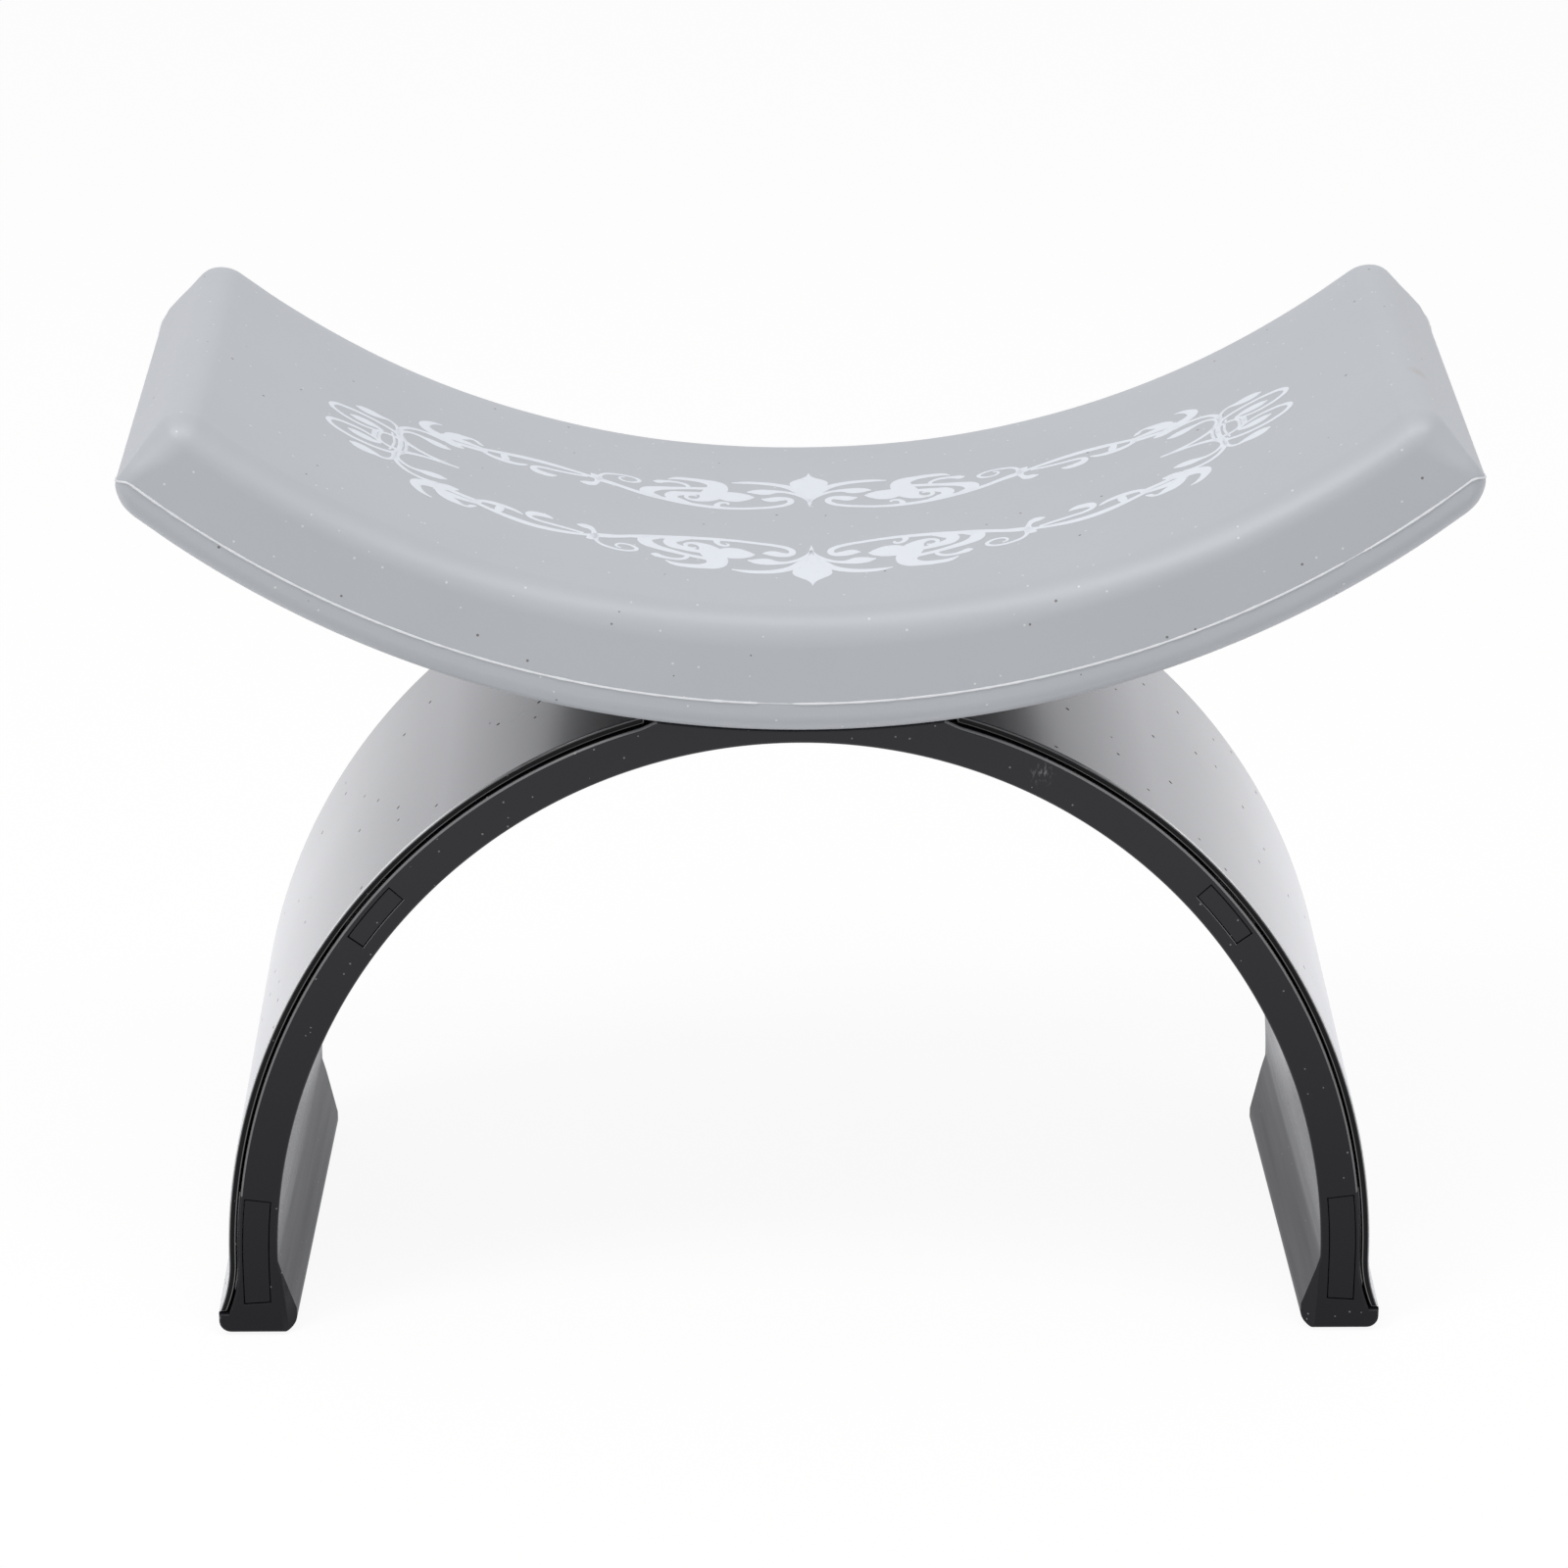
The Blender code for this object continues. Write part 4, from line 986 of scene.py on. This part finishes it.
QUARTER_STROKES = (
    # end loop, its inner leaf and the bracket that joins both halves
    ((88.5, 5.4, .9), (91, 6.3, .9), (95, 6.9, .9), (99.5, 6.6, 1), (102.7, 5.2, 1.2),
     (103.2, 3.8, 1.3), (101.6, 2.3, 1), (98.4, 1.4, .9), (95.5, 1.3, .8), (92.9, 2, .7)),
    ((98.9, 3.7, .4), (97.4, 3.8, 1.9), (94.6, 3.9, 2.2), (92.5, 3.7, 1.3), (91.6, 3.1, .9),
     (92.4, 2.2, .9), (93, 1.2, 1.2), (93, -.3, 1.3)),
    # upper leaf
    ((98, 9.6, .4), (96.8, 9.7, 2), (94.5, 9.8, 2.6), (92.2, 9.9, 1.5), (90.6, 10.1, .8),
     (89.2, 9.4, .8), (88.4, 8, .9), (88.2, 6.4, 1)),
    # stem from the knot to the vine
    ((88.2, 4.6, 1.4), (88, 7.2, 1.2), (87.1, 9.4, 1.1), (85.2, 11.1, 1), (82.8, 11.9, .9),
     (80.2, 12, 1.1), (78.2, 11.8, 1.6)),
    # bud inside the border, and the tail of the knot
    ((76.4, 7.9, .4), (77.8, 8, 1.8), (80.2, 8.4, 2.2), (82.4, 8.8, 1.2), (84.5, 8.9, .9),
     (86.4, 8, .9), (87.5, 6.4, 1.1), (87.3, 4.6, 1.3), (86.2, 2.9, 1.2), (84.2, 1.7, 1.1),
     (81.5, .8, .9), (78, .25, .8), (74.2, .1, .4)),
    # knot
    ((88.2, 5, 1), (87.4, 2.6, 1.1), (87.1, -.3, 1.2)),
    ((86.6, 4.2, .6), (86, 2, .7), (85.8, -.3, .7)),
    ((89.4, 4.6, .5), (88.8, 2.2, .6), (88.5, -.3, .6)),
    ((87.8, 2.9, 1), (89.8, 3, .8), (91.4, 2.2, .7), (91.9, .9, .7), (91.9, -.3, .7)),
    # hooked head of the vine and the body under it
    ((79, 19.3, .3), (80.7, 18.7, 1.1), (82.2, 17.3, 1.9), (82.8, 15.6, 2.5), (81.8, 14.2, 2.5),
     (79.4, 13.3, 2.4), (77.2, 12.3, 2.8), (75.3, 11.4, 2.2), (73.7, 11, .6)),
    ((78.3, 14.8, .8), (77.4, 15.7, 1.6), (75.8, 16.4, 2.4), (74, 17, 1.9), (72.4, 17.6, .9),
     (71.2, 17.3, .8), (70.5, 16.5, 1), (69.6, 15.9, .4)),
    ((79, 14.2, 1.2), (75.5, 14.6, 2), (72.2, 14.6, 1.4), (69, 14.3, 1)),
    ((76, 12.4, 1.4), (73, 12.9, 1.3), (70.5, 13.2, 1.3), (68.6, 13.4, 1)),
    # the vine's long upper line, its under leaf and the tie between them
    ((70.5, 14, 1.2), (68, 14.8, 1.2), (65.5, 15.5, 1.4), (62, 16.3, 1.6), (58.5, 16.8, 1.6),
     (54.5, 16.8, 1.5), (50.5, 16.3, 1.2), (47.5, 15.7, 1), (45.4, 15.1, 1.2)),
    ((70, 13.3, 1), (67.6, 12.1, 1.3), (64.8, 11.8, 1.6), (62.2, 12, 1.2), (60.7, 12.6, .9),
     (59.8, 13.2, .3)),
    ((65.3, 15.4, 1.2), (64.8, 13.7, 1.9), (64.5, 12, 1.4)),
    # inward scroll
    ((53.5, 11.4, .5), (54.7, 10.9, 1.5), (56.6, 10.9, 1.9), (58.3, 11.7, 1.9), (58.5, 12.9, 1.3),
     (57, 13.8, 1), (54, 14.1, .9), (50.5, 14.4, .9), (47, 14.9, .8)),
    # crossing: bud below, thorn and fine curl above
    ((48.5, 11.3, .4), (47.4, 11.3, 1.7), (46, 11.5, 1.9), (45.1, 12.6, 1.2), (44.6, 14.4, 1.4)),
    ((46.4, 17, .4), (45.7, 16.5, 1.6), (44.9, 15.6, 2), (44.3, 14.4, 1.6)),
    ((44.6, 15.4, 1.4), (44.2, 17.2, .9), (43.3, 18.4, .8), (41.4, 19.2, .8), (38.9, 19.5, .7),
     (36.9, 19, .7), (35.9, 17.9, .9), (36.6, 16.8, .8), (38.3, 16.3, .6), (39.9, 16.9, .6),
     (40.1, 18, .6), (39.1, 18.5, .4)),
    # the great scroll that carries the leaves
    ((45.4, 14.8, 1.4), (43, 14.2, 1.8), (40, 13.2, 1.4), (37, 11.9, 1.4), (34, 10.9, 1.6),
     (30, 9.9, 1.6), (26, 9, 1.5), (21, 8.4, 1.4), (16, 8.4, 1.2), (11, 9.2, 1.1), (7.2, 10.2, 1.2),
     (4.8, 11.5, 1.3), (3.9, 13.1, 1.4), (4.5, 14.5, 1.6), (6.3, 14.6, 2.2), (8.3, 14, 2.4),
     (9.5, 14.1, 1.2), (10.1, 14.3, .3)),
    # two crescents on its back
    ((21, 18.4, 1.4), (25.5, 17.4, 1.3), (29, 16.3, 1.6), (32.2, 15.1, 2.2), (34.1, 13.5, 3.2),
     (34, 11.8, 2.8), (32.2, 10.8, 1.7), (30.2, 10.2, .6)),
    ((21, 15.4, 1.4), (23.7, 15, 1.5), (26.6, 14.2, 2), (28.9, 12.9, 2.8), (28.9, 11.3, 2.6),
     (27, 10.2, 1.7), (25, 9.4, .6)),
    # the great leaf, rolled up below and lobed to the side
    ((29.9, 21.2, .4), (28.3, 22.2, 1.3), (25.2, 22.5, 1.7), (22.2, 22.1, 2.2), (19.9, 20.8, 4),
     (19.4, 19, 4.6), (19.9, 17, 4.8), (20.6, 15, 5), (21.3, 13.4, 4.2), (22.4, 12, 2.4),
     (24.2, 11.3, 1.2), (25.7, 11.9, 1), (25.9, 13, .9), (24.8, 13.8, .8), (23.7, 13.5, .6)),
    ((19.8, 15.2, 2.4), (18, 14.9, 4.6), (16, 14.7, 5.2), (14, 14.9, 4.2), (12.4, 15, 2.2),
     (11.6, 15, .4)),
    ((33, 19.1, .5), (32.1, 19.1, 1.7), (30.9, 19.6, 1.4), (29, 20, 1), (27, 19.8, 1),
     (25.8, 18.9, 1), (25.4, 17.4, .9)),
    ((19.5, 8.6, 1.6), (19.3, 10.2, 1.1), (18.2, 11.2, .9), (17.1, 10.9, .7), (17.2, 10.2, .5)),
    # side leaves of the finial
    ((16.4, 22.6, .4), (14, 23.1, 1.2), (10.5, 23.2, 1.5), (7, 22.5, 1.7), (4.2, 21, 1.9),
     (2.4, 18.8, 1.9), (1, 16.2, 1)),
    ((13.1, 17.8, .5), (11.6, 18.1, 2.2), (9.2, 18.2, 3), (7.3, 18.6, 1.8), (5.6, 18.5, 1.2),
     (3.4, 17.5, 1.1), (1.6, 15.9, 1.1), (.5, 14.2, .9), (.1, 12.5, .5)),
)
FINIAL_STROKE = ((0, 29.2, .2), (0, 28.1, .7), (0, 27.1, 1.8), (0, 26.2, 3.6), (0, 25.2, 6),
                 (0, 24.2, 7.6), (0, 23, 8.1), (0, 21.5, 7.4), (0, 20, 6.1), (0, 18, 3.9),
                 (0, 16, 2.1), (0, 14, 1.1), (0, 12, .8), (0, 10.1, .2))

white_ink, shader, place = new_finish("white_ink", Roughness=0.5, Specular_IOR_Level=0.4)
thin = specks(place, scale=900, size=0.16, share=0.10)
grain = mottled(place, scale=2200, detail=2.0)
feed(shader, {"Base Color": blend_colour(thin, *INK_WHITES),
              "Normal": relief(grain, depth=0.00001)})

line = bpy.data.curves.new("ornament_line", 'CURVE')
line.dimensions = '3D'
line.twist_mode = 'Z_UP'
line.bevel_depth = MILLIMETRE / 2
line.bevel_resolution = 3
line.resolution_u = 5
line.use_fill_caps = True
for stroke in QUARTER_STROKES + (FINIAL_STROKE,):
    for along_sign in (-1, 1) if stroke is not FINIAL_STROKE else (1,):
        for across_sign in (-1, 1):
            spline = line.splines.new('BEZIER')
            spline.resolution_u = 5
            spline.radius_interpolation = 'CARDINAL'
            spline.bezier_points.add(len(stroke) - 1)
            for point, (along, across, width) in zip(spline.bezier_points, stroke):
                point.co = (PRINT_MIDDLE[0] + along_sign * along * MILLIMETRE,
                            PRINT_MIDDLE[1] + across_sign * across * MILLIMETRE, 0)
                point.handle_left_type = point.handle_right_type = 'AUTO'
                point.radius = width
shape = mesh_of(line)
for vert in shape.verts:
    thickness = max(INK_UNDER, min(INK_TOP, vert.co.z + INK_EDGE))
    vert.co.z = CUSHION_THICKNESS + swell(vert.co.x, vert.co.y) + thickness
bend(shape)
cushion_ornament = new_piece("cushion_ornament", shape)
smooth(cushion_ornament, [white_ink])
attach(cushion_ornament, "cushion")


# ---- Floor and surroundings ----
# A plain white studio: a wide pale floor that keeps a soft shadow, and white all round. The camera
# and the reflections see both at full white, while the object is lit at a plain level.
FLOOR_HALF_SIZE = 6.0
FLOOR_WHITE = (0.93, 0.93, 0.93, 1)
SURROUND_LEVEL = 0.395
SEEN_LEVEL = 1.07
WHITE, SEEN_TINT = (1, 1, 1, 1), (0.955, 0.96, 1.0, 1)   # faintly blue in reflections only
FLOOR_LEVEL_SEEN = 1.04             # by the camera
FLOOR_LEVEL_MIRRORED = 1.20 * SEEN_LEVEL
# How much of the floor is plain white: for the object's light, in reflections, to the camera
GLOW_SHARES = (0.10, 0.70, 0.88)

paper = bpy.data.materials.new("studio_floor")
paper.use_nodes = True
tree = paper.node_tree
tree.nodes.clear()
matt_white = put(tree, "BsdfDiffuse", {"Color": FLOOR_WHITE})
path = put(tree, "LightPath")
by_camera = path.outputs["Is Camera Ray"]


def seen_share(path):
    """1 for a camera, glossy or transmission ray, and otherwise 0."""
    seen = combined('MAXIMUM', path.outputs["Is Camera Ray"], path.outputs["Is Glossy Ray"])
    return combined('MAXIMUM', seen, path.outputs["Is Transmission Ray"])


# The camera sees less of the object's shadow than reflections do
glow = put(tree, "Emission", {
    "Color": blend_colour(path.outputs["Is Glossy Ray"], WHITE, SEEN_TINT),
    "Strength": in_range(by_camera, FLOOR_LEVEL_MIRRORED, FLOOR_LEVEL_SEEN)})
amount = in_range(seen_share(path), GLOW_SHARES[0], in_range(by_camera, *GLOW_SHARES[1:]))
surface = put(tree, "MixShader", {0: amount, 1: matt_white.outputs[0], 2: glow.outputs[0]})
put(tree, "OutputMaterial", {"Surface": surface.outputs[0]})

shape = bmesh.new()
bmesh.ops.create_grid(shape, x_segments=1, y_segments=1, size=FLOOR_HALF_SIZE)
studio_floor = new_piece("studio_floor", shape)
studio_floor.data.materials.append(paper)

surround = bpy.data.worlds.new("white_surround")
surround.use_nodes = True
tree = surround.node_tree
path = put(tree, "LightPath")
feed(tree.nodes["Background"], {
    "Color": blend_colour(path.outputs["Is Glossy Ray"], WHITE, SEEN_TINT),
    "Strength": in_range(seen_share(path), SURROUND_LEVEL, SEEN_LEVEL)})
bpy.context.scene.world = surround


# ---- Lamps ----
# Three soft boxes: a long one overhead gives the top its full tone, a small one high at the front
# left lights the rounded rims, both slightly warm, and a faint upright one lifts the right end.
LAMP_AIM = (0, 0, 0.12)


def soft_box(name, place, size, power, tint=(1, 1, 1)):
    lamp = bpy.data.lights.new(name, 'AREA')
    lamp.shape = 'RECTANGLE'
    lamp.size, lamp.size_y = size
    lamp.energy = power
    lamp.color = tint
    box = placed(name, lamp)
    box.location = place
    box.rotation_euler = (Vector(LAMP_AIM) - Vector(place)).to_track_quat('-Z', 'Y').to_euler()


soft_box("overhead_strip", place=(0.0, -0.38, 1.25), size=(1.4, 0.30), power=5.75,
         tint=(1.0, 0.985, 0.97))
soft_box("key_box", place=(-0.75, -0.58, 1.25), size=(0.35, 0.35), power=3.45,
         tint=(1.0, 0.98, 0.96))
soft_box("right_strip", place=(1.25, -0.33, 0.55), size=(0.2, 0.9), power=0.36)


# ---- Camera ----
# Stands in front, a little above the cushion, and looks down at 23.7 degrees, as in the photograph.
SENSOR = 36.0
FOCAL_SHARE = 5500 / 1600     # focal length as a share of the frame's width
CAMERA_PLACE = (-0.0126, -0.9540, 0.5147)
LOOKING_DOWN = 23.67
CAMERA_TURN, CAMERA_TILT, CAMERA_ROLL = radians(-0.60), radians(90 - LOOKING_DOWN), radians(0.05)

view = bpy.data.cameras.new("photo_view")
view.sensor_width = SENSOR
view.lens = SENSOR * FOCAL_SHARE
view.clip_end = 20
camera = placed("photo_view", view)
camera.matrix_world = (Matrix.Translation(CAMERA_PLACE) @ Matrix.Rotation(CAMERA_TURN, 4, 'Z')
                       @ Matrix.Rotation(CAMERA_TILT, 4, 'X')
                       @ Matrix.Rotation(CAMERA_ROLL, 4, 'Z'))
bpy.context.scene.camera = camera
bpy.context.scene.view_settings.view_transform = 'Standard'
